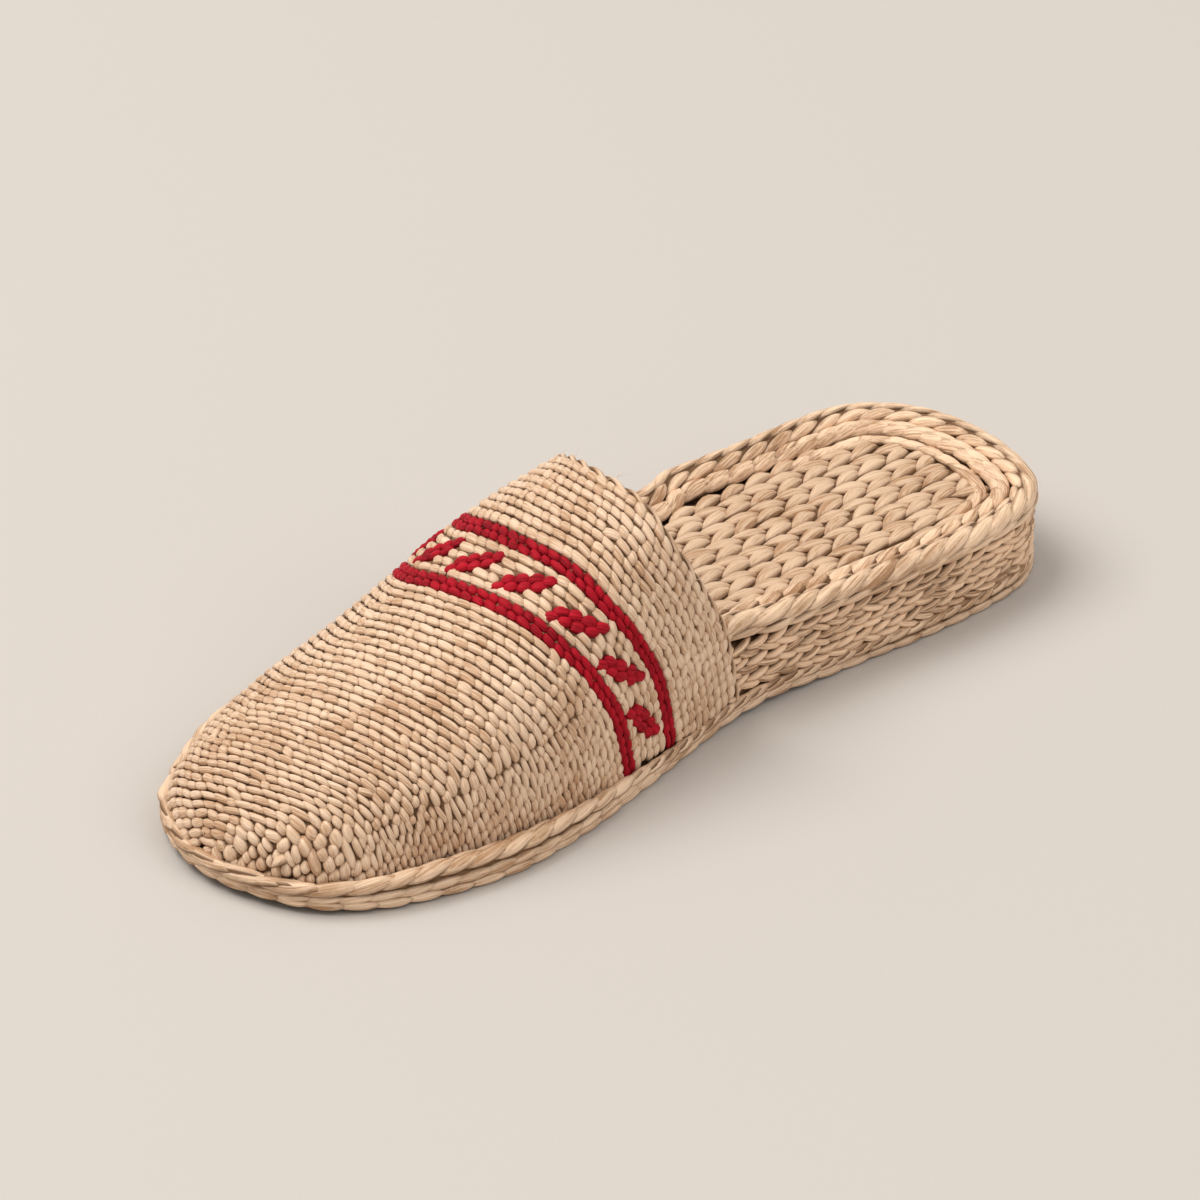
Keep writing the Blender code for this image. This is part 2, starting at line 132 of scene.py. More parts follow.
# Shares of the ridge, and how much of the rows' drift is left there on the medial side
DRIFT_FADE = ((0.3, 0.5, 0.85, 1.0), (1.0, 0.72, 0.66, 0.0))
# Drift: angle round the section (degrees), how far each row lies towards the toe there, as a factor
ROW_DRIFT = (
    (0, 0.85), (45, 0.885), (70, 0.95), (90, 1.0), (105, 1.05), (125, 1.10), (150, 1.05), (180, 0.97),
)


def hermite(left, right, x):
    """A cubic between two (place, value, slope) knots."""
    width = right[0] - left[0]
    t = (x - left[0]) / width
    start = (1 + 2 * t) * (1 - t) ** 2 * left[1] + t * (1 - t) ** 2 * left[2] * width
    end = t * t * (3 - 2 * t) * right[1] + t * t * (t - 1) * right[2] * width
    return start + end


def table_curve(rows, column, place_unit=MM, value_unit=MM):
    """The smooth function of one column of a table, over its first column."""
    places = [row[0] * place_unit for row in rows]
    values = [row[column] * value_unit for row in rows]
    steps = np.diff(values) / np.diff(places)
    slopes = [steps[0]]
    for before, after in zip(steps[:-1], steps[1:]):
        slopes.append(0.0 if before * after <= 0 else 2 * before * after / (before + after))
    slopes.append(steps[-1])
    knots = list(zip(places, values, slopes))
    fine_places = []
    fine_values = []
    for left, right in zip(knots[:-1], knots[1:]):
        for place in np.linspace(left[0], right[0], 24, endpoint=False):
            fine_places.append(place)
            fine_values.append(hermite(left, right, place))
    fine_places.append(places[-1])
    fine_values.append(values[-1])
    return lambda x: np.interp(x, fine_places, fine_values)


WELT_HEIGHT = table_curve(WELT, 1)
WELT_WIDTH = table_curve(WELT, 2)
RIDGE_HEIGHT = table_curve(RIDGE, 1)
COLLAR_ALONG = table_curve(COLLAR, 1, place_unit=radians(1))
DRIFT = table_curve(ROW_DRIFT, 1, place_unit=radians(1), value_unit=1)


def ease(x, start, end):
    """0 before start, 1 after end and a smooth step between them."""
    t = np.clip((np.asarray(x, float) - start) / (end - start), 0.0, 1.0)
    return t * t * (3 - 2 * t)


def run_lengths(points):
    """Length from the first point of a line to each of its points."""
    steps = np.linalg.norm(np.diff(points, axis=0), axis=1)
    return np.concatenate(([0.0], np.cumsum(steps)))


class Outline:
    """The sole's outline; the turn is 0 at the heel, pi at the toe, and takes the medial side first."""

    def __init__(self):
        medial = [(acos(1 - 2 * share), reach * MM) for share, reach, _ in OUTLINE]
        lateral = [(2 * pi - acos(1 - 2 * share), -reach * MM) for share, _, reach in reversed(OUTLINE)]
        knots = [(0.0, 0.0)] + medial + [(pi, 0.0)] + lateral
        knots = [(turn - 2 * pi, y) for turn, y in knots[-2:]] + knots + [
            (turn + 2 * pi, y) for turn, y in knots[:3]]
        turns = [turn for turn, _ in knots]
        slopes = np.gradient([y for _, y in knots], turns)
        rows = [(turn, y, slope) for (turn, y), slope in zip(knots, slopes)]
        self.turns = np.linspace(0, 2 * pi, 2401)
        across = []
        for turn in self.turns:
            index = min(int(np.searchsorted(turns, turn, side="right")) - 1, len(rows) - 2)
            across.append(hermite(rows[index], rows[index + 1], turn))
        self.points = np.array((LENGTH / 2 * (1 - np.cos(self.turns)), across)).T
        ahead = np.roll(self.points[:-1], -1, axis=0) - np.roll(self.points[:-1], 1, axis=0)
        ahead /= np.linalg.norm(ahead, axis=1)[:, None]
        normals = np.array((-ahead[:, 1], ahead[:, 0])).T
        self.normals = np.vstack((normals, normals[:1]))

    def sample(self, turn, table):
        """The row of a table at a turn, between its own rows."""
        turn = np.asarray(turn, float) % (2 * pi)
        return np.stack([np.interp(turn, self.turns, table[:, axis]) for axis in (0, 1)], axis=-1)

    def point(self, turn):
        """The outline's point at a turn."""
        return self.sample(turn, self.points)

    def normal(self, turn):
        """The direction out of the outline at a turn."""
        normal = self.sample(turn, self.normals)
        return normal / np.linalg.norm(normal, axis=-1)[..., None]

    def inset(self, turn, depth):
        """The point at a depth inside the outline."""
        depth = np.asarray(depth, float)
        return self.point(turn) - depth[..., None] * self.normal(turn)

    def depth_of(self, along, y):
        """How far inside the outline a point lies."""
        gaps = np.hypot(self.points[:, 0] - along, self.points[:, 1] - y)
        nearest = int(np.argmin(gaps))
        inside = np.dot(self.points[nearest] - (along, y), self.normals[nearest]) > 0
        return gaps[nearest] if inside else -gaps[nearest]


EDGE = Outline()


def is_medial(turn):
    """Whether a turn is on the medial side."""
    return np.asarray(turn) % (2 * pi) < pi


def clearance(along):
    """Height of the underside over the floor."""
    roll = HEEL_ROLL_LIFT * np.maximum(0.0, 1 - along / HEEL_ROLL) ** 2
    middle = (ARCH_BACK + ARCH_FRONT) / 2
    arch = ARCH_LIFT * ease(along, ARCH_BACK, middle) * (1 - ease(along, middle, ARCH_FRONT))
    spring = SPRING_LIFT * np.maximum(0.0, (along - SPRING_START) / (LENGTH - SPRING_START)) ** 2
    return roll + arch + spring


def core_top(along):
    """Height of the core's top over the underside: thick at the heel, thin at the forefoot."""
    return CORE_TOP_HEEL + (CORE_TOP_FORE - CORE_TOP_HEEL) * ease(along, RAMP_BACK, RAMP_FRONT)


def upper_inset(along):
    """How far the upper's outside stands back from the outline."""
    blend = ease(along, UPPER_INSET_BACK, UPPER_INSET_FRONT)
    return UPPER_INSET_WAIST + (WELT_WIDTH(along) + GAP - UPPER_INSET_WAIST) * blend


def upper_foot(along):
    """Height of the upper's lower edge: on the border plait at the waist, on the outsole in front."""
    on_plait = OUTSOLE_THICK + WELT_HEIGHT(UPPER_INSET_BACK) + 2 * GAP
    on_outsole = OUTSOLE_THICK + GAP
    return on_plait + (on_outsole - on_plait) * ease(along, UPPER_INSET_FRONT, RAMP_FRONT)


def covered(along, medial):
    """1 where the upper covers the side of the sole, 0 at the bare heel."""
    edge = np.where(medial, COLLAR[0][1] * MM, COLLAR[-1][1] * MM)
    return ease(along - edge, -16 * MM, -1 * MM)


def rim_inset(along, medial):
    """How far the rim's outside stands back: it overhangs at the heel and runs in under the upper."""
    under = upper_inset(along) + WALL + GAP + np.where(medial, *RIM_ROOM)
    return -RIM_OVERHANG + (under + RIM_OVERHANG) * covered(along, medial)


def insole_inset(along, medial):
    """How far the footbed's edge stands back: beside the plaits, then just inside the upper."""
    beside = rim_inset(along, medial) + RIM_WIDTH + INNER_WIDTH + 3 * GAP
    inside = upper_inset(along) + WALL + INSOLE_SIDE_ROOM
    end = np.where(medial, RIM_END_MEDIAL, RIM_END_LATERAL) + INSOLE_FACET
    t = np.clip((along - end) / (RAMP_FRONT + INSOLE_FACET - end), 0.0, 1.0)
    return beside + (inside - beside) * t * t * (3 - 2 * t)


def place(along, y, z):
    """World position of a point given by its distance from the heel and from the axis."""
    return np.stack(np.broadcast_arrays(along - MIDDLE_ALONG, y + AXIS_Y, z), axis=-1)


class UpperForm:
    """The upper's surface at a given depth under its outside."""

    def __init__(self, depth):
        self.depth = depth
        turns = np.linspace(0.35 * pi, pi, 400)
        self.sides = []
        for side_turns in (turns, 2 * pi - turns):
            along = EDGE.point(side_turns)[:, 0]
            self.sides.append(EDGE.inset(side_turns, upper_inset(along) + depth).T)
        self.front = float(self.sides[0][0][-1])

    def ridge(self, along):
        """Height of the ridge over the upper's lower edge, rounding off at the toe."""
        foot = clearance(along) + upper_foot(along)
        run = np.clip((along - UPPER_FRONT) / (self.front - UPPER_FRONT), 0.0, 1.0)
        crest = RIDGE_HEIGHT(along) - self.depth - foot
        return crest * (1 - run ** TOE_ROUNDING[0]) ** (1 / TOE_ROUNDING[1])

    def point(self, along, angle):
        """World position at a place along and an angle round the section, 0 on the medial side."""
        along = np.minimum(along, self.front)
        medial = np.interp(along, *self.sides[0])
        lateral = np.interp(along, *self.sides[1])
        share = np.clip((along - SECTION_BACK) / (SECTION_FRONT - SECTION_BACK), 0.0, 1.0)
        power = 2 / (SECTION_POWER[0] + (SECTION_POWER[1] - SECTION_POWER[0]) * share)
        shift = CREST_SHIFT[0] + (CREST_SHIFT[1] - CREST_SHIFT[0]) * share
        fade = np.minimum(1.0, (self.front - along) / CREST_FADE)
        across = np.cos(angle)
        rise = np.maximum(np.sin(angle), 0.0)
        y = (medial + lateral) / 2 + shift * fade * rise ** 2
        y = y + (medial - lateral) / 2 * np.abs(across) ** power * np.sign(across)
        z = clearance(along) + upper_foot(along) + self.ridge(along) * rise ** power
        return place(along, y, z)


RIDGE_FORM = UpperForm(0.0)


def ridge_runs():
    """Shares of the upper's length, against even shares of the arc along its ridge."""
    start = COLLAR_ALONG(pi / 2)
    run = np.concatenate((np.linspace(0, 0.9, 300), 1 - 0.1 * np.linspace(1, 0, 600)[1:] ** 3))
    along = start + (RIDGE_FORM.front - start) * run
    height = RIDGE_FORM.ridge(along) + clearance(along) + upper_foot(along)
    arc = np.concatenate(([0.0], np.cumsum(np.hypot(np.diff(along), np.diff(height)))))
    return arc / arc[-1], run


RIDGE_ARC, RIDGE_RUN = ridge_runs()


def upper_point(form, row, angle):
    """Point of the woven surface at a row, counted from the collar, and an angle round the section."""
    share = np.interp(row, *ROW_SHARES)
    fade = np.where(np.asarray(angle) > pi / 2, np.clip((1 - share) / 0.7, 0.0, 1.0),
                    np.interp(share, *DRIFT_FADE))
    drift = 1 + (DRIFT(angle) - 1) * fade
    run = np.interp(share * drift, RIDGE_ARC, RIDGE_RUN)
    run = np.where(np.asarray(row) < 0, row / ROW_COUNT, run)
    start = COLLAR_ALONG(angle)
    return form.point(start + (form.front - start) * run, angle)


# ---------------------------------------------------------------- node trees

class Field:
    """An output of a node; arithmetic on it adds the nodes that do it to its tree."""

    def __init__(self, tree, socket):
        self.tree = tree
        self.socket = socket

    def math(self, operation, *others):
        """The output of a Math node on this number and others."""
        return field(self.tree, "ShaderNodeMath", dict(enumerate((self, *others))), operation=operation)

    def vector(self, operation, *others):
        """The output of a Vector Math node on this vector and others."""
        output = "Value" if operation in ("DOT_PRODUCT", "LENGTH") else "Vector"
        return field(self.tree, "ShaderNodeVectorMath", dict(enumerate((self, *others))), output,
                     operation=operation)

    def scaled(self, factor):
        """This vector times a number."""
        return field(self.tree, "ShaderNodeVectorMath", {0: self, "Scale": factor}, operation="SCALE")

    def remapped(self, low, high, to_low=0.0, to_high=1.0):
        """This number brought from one range to another and held inside it."""
        return field(self.tree, "ShaderNodeMapRange", {0: self, 1: low, 2: high, 3: to_low, 4: to_high})

    def __add__(self, other):
        return self.math("ADD", other)

    def __sub__(self, other):
        return self.math("SUBTRACT", other)

    def __rsub__(self, other):
        return field(self.tree, "ShaderNodeMath", {0: other, 1: self}, operation="SUBTRACT")

    def __mul__(self, other):
        return self.math("MULTIPLY", other)

    def __truediv__(self, other):
        return self.math("DIVIDE", other)


def fill(tree, node, inputs):
    """Links a node's inputs to fields, or sets them to values."""
    for key, value in inputs.items():
        if isinstance(value, Field):
            tree.links.new(value.socket, node.inputs[key])
        else:
            node.inputs[key].default_value = value
    return node


def add(tree, kind, inputs=None, **settings):
    """A new node with its settings made and its inputs filled in."""
    node = tree.nodes.new(kind)
    for name, value in settings.items():
        setattr(node, name, value)
    return fill(tree, node, inputs or {})


def field(tree, kind, inputs=None, output=0, **settings):
    """One output of a new node."""
    return Field(tree, add(tree, kind, inputs, **settings).outputs[output])


def combined(tree, x, y, z):
    """A vector from three numbers."""
    return field(tree, "ShaderNodeCombineXYZ", {0: x, 1: y, 2: z})


def mixed(tree, share, first, second):
    """The first colour where the share is 0 and the second where it is 1."""
    return field(tree, "ShaderNodeMix", {0: share, 6: first, 7: second}, 2, data_type="RGBA")


def attribute(tree, name, kind="FLOAT"):
    """A named attribute of the geometry."""
    return field(tree, "GeometryNodeInputNamedAttribute", {"Name": name}, data_type=kind)


def random_number(tree, low, high, which, seed):
    """A random number for each value of which."""
    return field(tree, "FunctionNodeRandomValue", {2: low, 3: high, 7: which, 8: seed}, 1,
                 data_type="FLOAT")


def captured(tree, shape, *items):
    """The shape with each (label, kind, field) held on its points, and the held fields by their labels."""
    node = add(tree, "GeometryNodeCaptureAttribute", {0: shape}, domain="POINT")
    for number, (label, kind, value) in enumerate(items, 1):
        node.capture_items.new(kind, label)
        fill(tree, node, {number: value})
    held = {label: Field(tree, node.outputs[label]) for label, _, _ in items}
    return Field(tree, node.outputs[0]), held


def stored(tree, shape, *items):
    """The shape with each (name, kind, field) kept as an attribute of its points."""
    for name, kind, value in items:
        shape = field(tree, "GeometryNodeStoreNamedAttribute", {0: shape, "Name": name, "Value": value},
                      data_type=kind, domain="POINT")
    return shape


def swept(tree, path, profile, radius):
    """A closed tube along a path."""
    return field(tree, "GeometryNodeCurveToMesh", {0: path, 1: profile, "Scale": radius, "Fill Caps": True})


def round_profile(tree, sides):
    """A circle of radius 1 to sweep along a path."""
    return field(tree, "GeometryNodeCurvePrimitiveCircle", {"Resolution": sides, "Radius": 1.0})


def new_tree(name, kind, inputs, outputs):
    """A node tree with these (label, kind, default) inputs and (label, kind) outputs."""
    tree = bpy.data.node_groups.new(name, kind)
    for label, socket_kind, default in inputs:
        socket = tree.interface.new_socket(label, in_out="INPUT", socket_type="NodeSocket" + socket_kind)
        if default is not None:
            socket.default_value = default
    for label, socket_kind in outputs:
        tree.interface.new_socket(label, in_out="OUTPUT", socket_type="NodeSocket" + socket_kind)
    return tree, {socket.name: Field(tree, socket) for socket in add(tree, "NodeGroupInput").outputs}


def geometry_tree(name, *inputs):
    """A geometry tree that takes and gives one geometry, with a material as its last input."""
    return new_tree(name, "GeometryNodeTree", (
        ("Geometry", "Geometry", None), *inputs, ("Material", "Material", None)),
        (("Geometry", "Geometry"),))


def end_geometry(tree, shape, material):
    """Ends a geometry tree: makes its instances real and gives them their material."""
    real = field(tree, "GeometryNodeRealizeInstances", {0: shape})
    final = field(tree, "GeometryNodeSetMaterial", {0: real, "Material": material})
    add(tree, "NodeGroupOutput", {0: final})
    return tree


def built_once(name):
    """Makes a function that builds a node tree build it once, and find it by its name after that."""
    def of(build):
        @wraps(build)
        def found():
            return bpy.data.node_groups.get(name) or build(name)
        return found
    return of


@built_once("Laid Straws")
def laid_straws_tree(name):
    """Lays one straw on each guide point, along its lie and square to its out."""
    tree, given = geometry_tree(
        name, ("Straw", "Object", None), ("Turn", "Float", 6.0), ("Tilt", "Float", 3.0),
        ("Size Spread", "Float", 0.08), ("Seed", "Int", 1))
    index = field(tree, "GeometryNodeInputIndex")

    def drawn(low, high, which_draw):
        """A random number for each straw; each draw of a straw has its own number."""
        return random_number(tree, low, high, index, given["Seed"] + which_draw)

    def swing(degrees, reach, which_draw):
        """A small random angle, up to reach times the degrees either way."""
        return (degrees * drawn(-reach, reach, which_draw)).math("RADIANS")

    facing = field(tree, "FunctionNodeAxesToRotation", {
        0: attribute(tree, "out", "FLOAT_VECTOR"), 1: attribute(tree, "lie", "FLOAT_VECTOR")},
        primary_axis="Z", secondary_axis="X")
    swings = field(tree, "FunctionNodeEulerToRotation", {0: combined(
        tree, swing(given["Tilt"], 2.0, 13), swing(given["Tilt"], 1.0, 7), swing(given["Turn"], 1.0, 0))})
    rotation = field(tree, "FunctionNodeRotateRotation", {0: facing, 1: swings}, rotation_space="LOCAL")
    least, most = 1.0 - given["Size Spread"], given["Size Spread"] + 1.0
    spread = combined(tree, *(drawn(least, most, which_draw) for which_draw in (3, 4, 5)))
    laid = field(tree, "GeometryNodeInstanceOnPoints", {
        "Points": given["Geometry"],
        "Instance": field(tree, "GeometryNodeObjectInfo", {0: given["Straw"]}, "Geometry"),
        "Rotation": rotation,
        "Scale": attribute(tree, "size", "FLOAT_VECTOR").vector("MULTIPLY", spread)})
    return end_geometry(tree, laid, given["Material"])


@built_once("Twisted Cord")
def twisted_cord_tree(name):
    """Twists strands around a guide path whose points carry out, over, wide and tall."""
    tree, given = geometry_tree(
        name, ("Strands", "Int", 3), ("Turns", "Float", 10.0), ("Strand Share", "Float", 0.5),
        ("Sides", "Int", 12), ("Size Spread", "Float", 0.1), ("Seed", "Int", 1))
    many = add(tree, "GeometryNodeDuplicateElements", {
        0: field(tree, "GeometryNodeMeshToCurve", {0: given["Geometry"]}), "Amount": given["Strands"]},
        domain="SPLINE")
    strand = Field(tree, many.outputs[1])

    # where a strand is on its way round, and which straw of it shows there
    turned = strand / given["Strands"] + given["Turns"] * field(tree, "GeometryNodeSplineParameter")
    straw = (turned + 0.35).math("FLOOR") * 9.0 + strand
    tone = random_number(tree, 0.0, 1.0, straw, given["Seed"])
    swell = given["Size Spread"] * random_number(tree, -1.0, 1.0, straw, given["Seed"] + 5) + 1.0

    # the strand's own path and radius
    angle = turned * (2 * pi)
    wide, tall = attribute(tree, "wide"), attribute(tree, "tall")
    reach = 1.0 - given["Strand Share"]
    sideways = wide * reach * angle.math("COSINE")
    upwards = tall * reach * angle.math("SINE")
    offset = attribute(tree, "out", "FLOAT_VECTOR").scaled(sideways).vector(
        "ADD", attribute(tree, "over", "FLOAT_VECTOR").scaled(upwards))
    cord_size = (wide * tall).math("SQRT")
    strands, held = captured(
        tree, Field(tree, many.outputs[0]),
        ("Length", "FLOAT", field(tree, "GeometryNodeSplineParameter", output="Length")),
        ("Tone", "FLOAT", tone),
        ("Radius", "FLOAT", cord_size * (given["Strand Share"] * swell)),
        ("Middle", "VECTOR", field(tree, "GeometryNodeInputPosition")),
        ("Size", "FLOAT", cord_size))
    moved = field(tree, "GeometryNodeSetPosition", {0: strands, "Offset": offset})
    profile, turn = captured(
        tree, round_profile(tree, given["Sides"]),
        ("Round", "FLOAT", field(tree, "GeometryNodeSplineParameter")))

    # grain along the strand and round it; painted shade in the grooves between strands, from how near the
    # cord's middle a point lies
    round_angle = turn["Round"] * (2 * pi)
    grain = combined(tree, held["Length"], held["Radius"] * round_angle.math("COSINE"),
                     held["Radius"] * round_angle.math("SINE"))
    away = field(tree, "GeometryNodeInputPosition").vector("SUBTRACT", held["Middle"])
    depth = away.vector("LENGTH") / held["Size"]
    shape = stored(tree, swept(tree, moved, profile, held["Radius"]), ("grain", "FLOAT_VECTOR", grain),
                   ("tone", "FLOAT", held["Tone"]), ("tuck", "FLOAT", depth.remapped(0.5, 0.95, 1.0, 0.0)))
    return end_geometry(tree, field(tree, "GeometryNodeSetShadeSmooth", {0: shape}), given["Material"])


@built_once("Woven Strands")
def woven_strands_tree(name):
    """Flat tapering strands along guide lines whose points carry wide, thick, face, run, tone and end;
    painted shade goes on their lower sides and, by end, towards their ends.
    """
    tree, given = geometry_tree(name, ("Sides", "Int", 10))
    lines, held = captured(
        tree, field(tree, "GeometryNodeMeshToCurve", {0: given["Geometry"]}),
        ("Middle", "VECTOR", field(tree, "GeometryNodeInputPosition")),
        ("Ahead", "VECTOR", field(tree, "GeometryNodeInputTangent")),
        ("Half Width", "FLOAT", attribute(tree, "wide")))
    tubes = swept(tree, lines, round_profile(tree, given["Sides"]), held["Half Width"])
    away = field(tree, "GeometryNodeInputPosition").vector("SUBTRACT", held["Middle"])
    face = attribute(tree, "face", "FLOAT_VECTOR")
    across = away.vector("DOT_PRODUCT", face.vector("CROSS_PRODUCT", held["Ahead"]))
    height = away.vector("DOT_PRODUCT", face)
    # painted shade: darker on the strand's lower side, and at its ends by the end attribute
    low = (0.5 - height / held["Half Width"]) * 1.3
    shape = stored(
        tree, tubes, ("grain", "FLOAT_VECTOR", combined(tree, attribute(tree, "run"), across, height)),
        ("tuck", "FLOAT", low.math("MAXIMUM", attribute(tree, "end"))))
    flatter = attribute(tree, "thick") / held["Half Width"] - 1.0
    moved = field(tree, "GeometryNodeSetPosition", {0: shape, "Offset": face.scaled(height * flatter)})
    return end_geometry(tree, moved, given["Material"])


# ---------------------------------------------------------------- pieces from guides

# What the guides carry for the trees; none of it stays on a finished piece
GUIDE_NAMES = ("wide", "thick", "face", "run", "end", "out", "over", "tall", "lie", "size")


def new_object(name, verts, edges=(), faces=()):
    """A new mesh object in the scene."""
    mesh = bpy.data.meshes.new(name)
    mesh.from_pydata([tuple(vert) for vert in verts], list(edges), list(faces))
    obj = bpy.data.objects.new(name, mesh)
    bpy.context.scene.collection.objects.link(obj)
    return obj


def give_attribute(obj, name, kind, values):
    """Keeps one value for each point of a mesh under a name."""
    data = obj.data.attributes.new(name, kind, "POINT").data
    field = "vector" if kind == "FLOAT_VECTOR" else "value"
    data.foreach_set(field, np.asarray(values, np.float32).ravel())


def made_by(tree, name, guide, settings, leftover=()):
    """The plain mesh that a tree makes of a guide object; the guide is removed."""
    modifier = guide.modifiers.new("Nodes", "NODES")
    modifier.node_group = tree
    sockets = {item.name: item.identifier for item in tree.interface.items_tree
               if item.item_type == "SOCKET" and item.in_out == "INPUT"}
    for label, value in settings.items():
        modifier[sockets[label]] = value
    graph = bpy.context.evaluated_depsgraph_get()
    mesh = bpy.data.meshes.new_from_object(guide.evaluated_get(graph), depsgraph=graph)
    mesh.name = name
    for old in (guide, *leftover):
        bpy.data.objects.remove(old)
    piece = bpy.data.objects.new(name, mesh)
    bpy.context.scene.collection.objects.link(piece)
    if not len(mesh.polygons):
        raise RuntimeError(f"{name} has no faces")
    for label in [item.name for item in mesh.attributes]:
        if label in GUIDE_NAMES:
            mesh.attributes.remove(mesh.attributes[label])
    mesh.shade_smooth()
    return piece


def ring_faces(rings, sides, closed=False):
    """Faces between each ring of points and the next, the points counted ring after ring."""
    faces = []
    for ring in range(rings if closed else rings - 1):
        low = ring * sides
        high = (ring + 1) % rings * sides
        for side in range(sides):
            beside = (side + 1) % sides
            faces.append((low + side, low + beside, high + beside, high + side))
    return faces


def straw_shape(name, size, rings, sides=8, ends=(3.2, 0.31), swell=(3.0, 0.4), shear=0.0, curl=0.0,
                dip=(0.2, 0.2)):
    """One straw as it shows between two crossings, at unit size.

    ends and swell are the exponents of its width and its thickness along it, dip how far its two ends
    sink, as shares of its thickness, shear how far its ends are cut slantwise, and curl how far it bows.
    """
    length, width, thickness = size
    verts, grain, tuck = [], [], []
    for ring in range(rings):
        t = -cos(pi * (ring + 0.5) / rings)
        wide = (1 - abs(t) ** ends[0]) ** ends[1]
        high = (1 - abs(t) ** swell[0]) ** swell[1]
        for side in range(sides):
            angle = 2 * pi * side / sides
            flat_y = width / 2 * wide * cos(angle)
            flat_z = thickness / 2 * high * sin(angle)
            x = length / 2 * t + shear * flat_y
            y = flat_y + curl * width * (1 - t * t)
            z = flat_z - dip[t > 0] * thickness * t * t
            verts.append((x / length, y / width, z / thickness))
            grain.append((t * length / 2, flat_y, flat_z))
            # painted shade: darker on the straw's lower side and towards its ends, where it tucks under its
            # neighbours
            tuck.append(max(0.7 * abs(t) ** 8, 1.3 * max(0.0, 0.5 - sin(angle))))
    # the two tip points take full painted shade
    for t in (-1, 1):
        verts.append((t / 2, 0.0, -dip[t > 0]))
        grain.append((t * length / 2, 0.0, 0.0))
        tuck.append(1.0)
    faces = ring_faces(rings, sides)
    last = (rings - 1) * sides
    for side in range(sides):
        beside = (side + 1) % sides
        faces.append((beside, side, rings * sides))
        faces.append((last + beside, rings * sides + 1, last + side))
    shape = new_object(name, verts, faces=faces)
    give_attribute(shape, "grain", "FLOAT_VECTOR", grain)
    give_attribute(shape, "tuck", "FLOAT", tuck)
    return shape


def lay_straws(name, points, shape, material, turn, tilt, spread, seed):
    """A piece of straws, one for each (place, lie, out, size, tone) row."""
    guide = new_object(name + "_guide", [row[0] for row in points])
    for column, label in ((1, "lie"), (2, "out"), (3, "size")):
        give_attribute(guide, label, "FLOAT_VECTOR", [tuple(row[column]) for row in points])
    give_attribute(guide, "tone", "FLOAT", [row[4] for row in points])
    return made_by(laid_straws_tree(), name, guide, {
        "Straw": shape, "Turn": turn, "Tilt": tilt, "Size Spread": spread, "Seed": seed,
        "Material": material}, leftover=(shape,))


def weave_strands(name, strands, material, sides=10):
    """A piece of strands, each a list of (place, half width, half thickness, face, run, end) and a tone; end
    is the share of painted shade towards the strand's ends.
    """
    places, edges, rows, tones = [], [], [], []
    for line, tone in strands:
        edges += [(len(places) + index, len(places) + index + 1) for index in range(len(line) - 1)]
        places += [point[0] for point in line]
        rows += [point[1:] for point in line]
        tones += [tone] * len(line)
    guide = new_object(name + "_guide", places, edges=edges)
    for column, label in enumerate(("wide", "thick", "face", "run", "end")):
        values = [row[column] for row in rows]
        if label == "face":
            give_attribute(guide, label, "FLOAT_VECTOR", [tuple(value) for value in values])
        else:
            give_attribute(guide, label, "FLOAT", values)
    give_attribute(guide, "tone", "FLOAT", tones)
    return made_by(woven_strands_tree(), name, guide, {"Sides": sides, "Material": material})


# ---------------------------------------------------------------- straw finishes

@built_once("Straw Fibre")
def fibre_group(name):
    """Fine lengthwise lines of a straw, from the grain of its piece."""
    tree, given = new_tree(name, "ShaderNodeTree", (
        ("Grain", "Vector", None), ("Tone", "Float", None), ("Across", "Float", 2200.0),
        ("Along", "Float", 160.0)), (("Lines", "Float"), ("Streaks", "Float")))
    scale = combined(tree, given["Along"], given["Across"], given["Across"])
    where = {"Vector": given["Grain"].vector("MULTIPLY", scale), "W": given["Tone"] * 53.0}
    fine = field(tree, "ShaderNodeTexNoise", {**where, "Scale": 1.0, "Detail": 3.0, "Roughness": 0.6},
                 noise_dimensions="4D")
    wide = field(tree, "ShaderNodeTexNoise", {**where, "Scale": 0.28, "Detail": 2.0},
                 noise_dimensions="4D")
    add(tree, "NodeGroupOutput", {0: fine.remapped(0.34, 0.66), 1: wide.remapped(0.32, 0.68)})
    return tree


@built_once("Straw Tone")
def tone_group(name):
    """Straw colour: pale to brown from straw to straw, mixed towards the painted shade colour where a straw
    tucks under another, on its lower side and in a cord's grooves.
    """
    tree, given = new_tree(name, "ShaderNodeTree", (
        *((label, "Color", None) for label in ("Pale", "Middle", "Dark", "Shade")),
        ("Tone", "Float", 0.5), ("Lines", "Float", 0.5), ("Streaks", "Float", 0.5), ("Painted Shade", "Float", 0.0),
        ("Blotch", "Float", 0.5), ("Spread", "Float", 1.0)), (("Colour", "Color"),))
    total = 0.5
    for label, weight in (("Tone", given["Spread"]), ("Lines", 0.75), ("Streaks", 0.6), ("Blotch", 0.5)):
        total = (given[label] - 0.5) * weight + total
    darker = mixed(tree, total.remapped(0.0, 0.5), given["Dark"], given["Middle"])
    lit = mixed(tree, total.remapped(0.5, 1.0), darker, given["Pale"])
    # painted shade: the shade colour mixed in by the painted shade share
    painted_shade_share = given["Painted Shade"].math("MINIMUM", 0.94)
    add(tree, "NodeGroupOutput", {0: mixed(tree, painted_shade_share, lit, given["Shade"])})
    return tree


def new_material(name):
    """A new material, its node tree and its shader."""
    material = bpy.data.materials.new(name)
    material.use_nodes = True
    tree = material.node_tree
    return material, tree, tree.nodes["Principled BSDF"]


def bumped(tree, height, strength, distance):
    """A surface direction for a shader, from a height."""
    return field(tree, "ShaderNodeBump", {"Height": height, "Strength": strength, "Distance": distance})


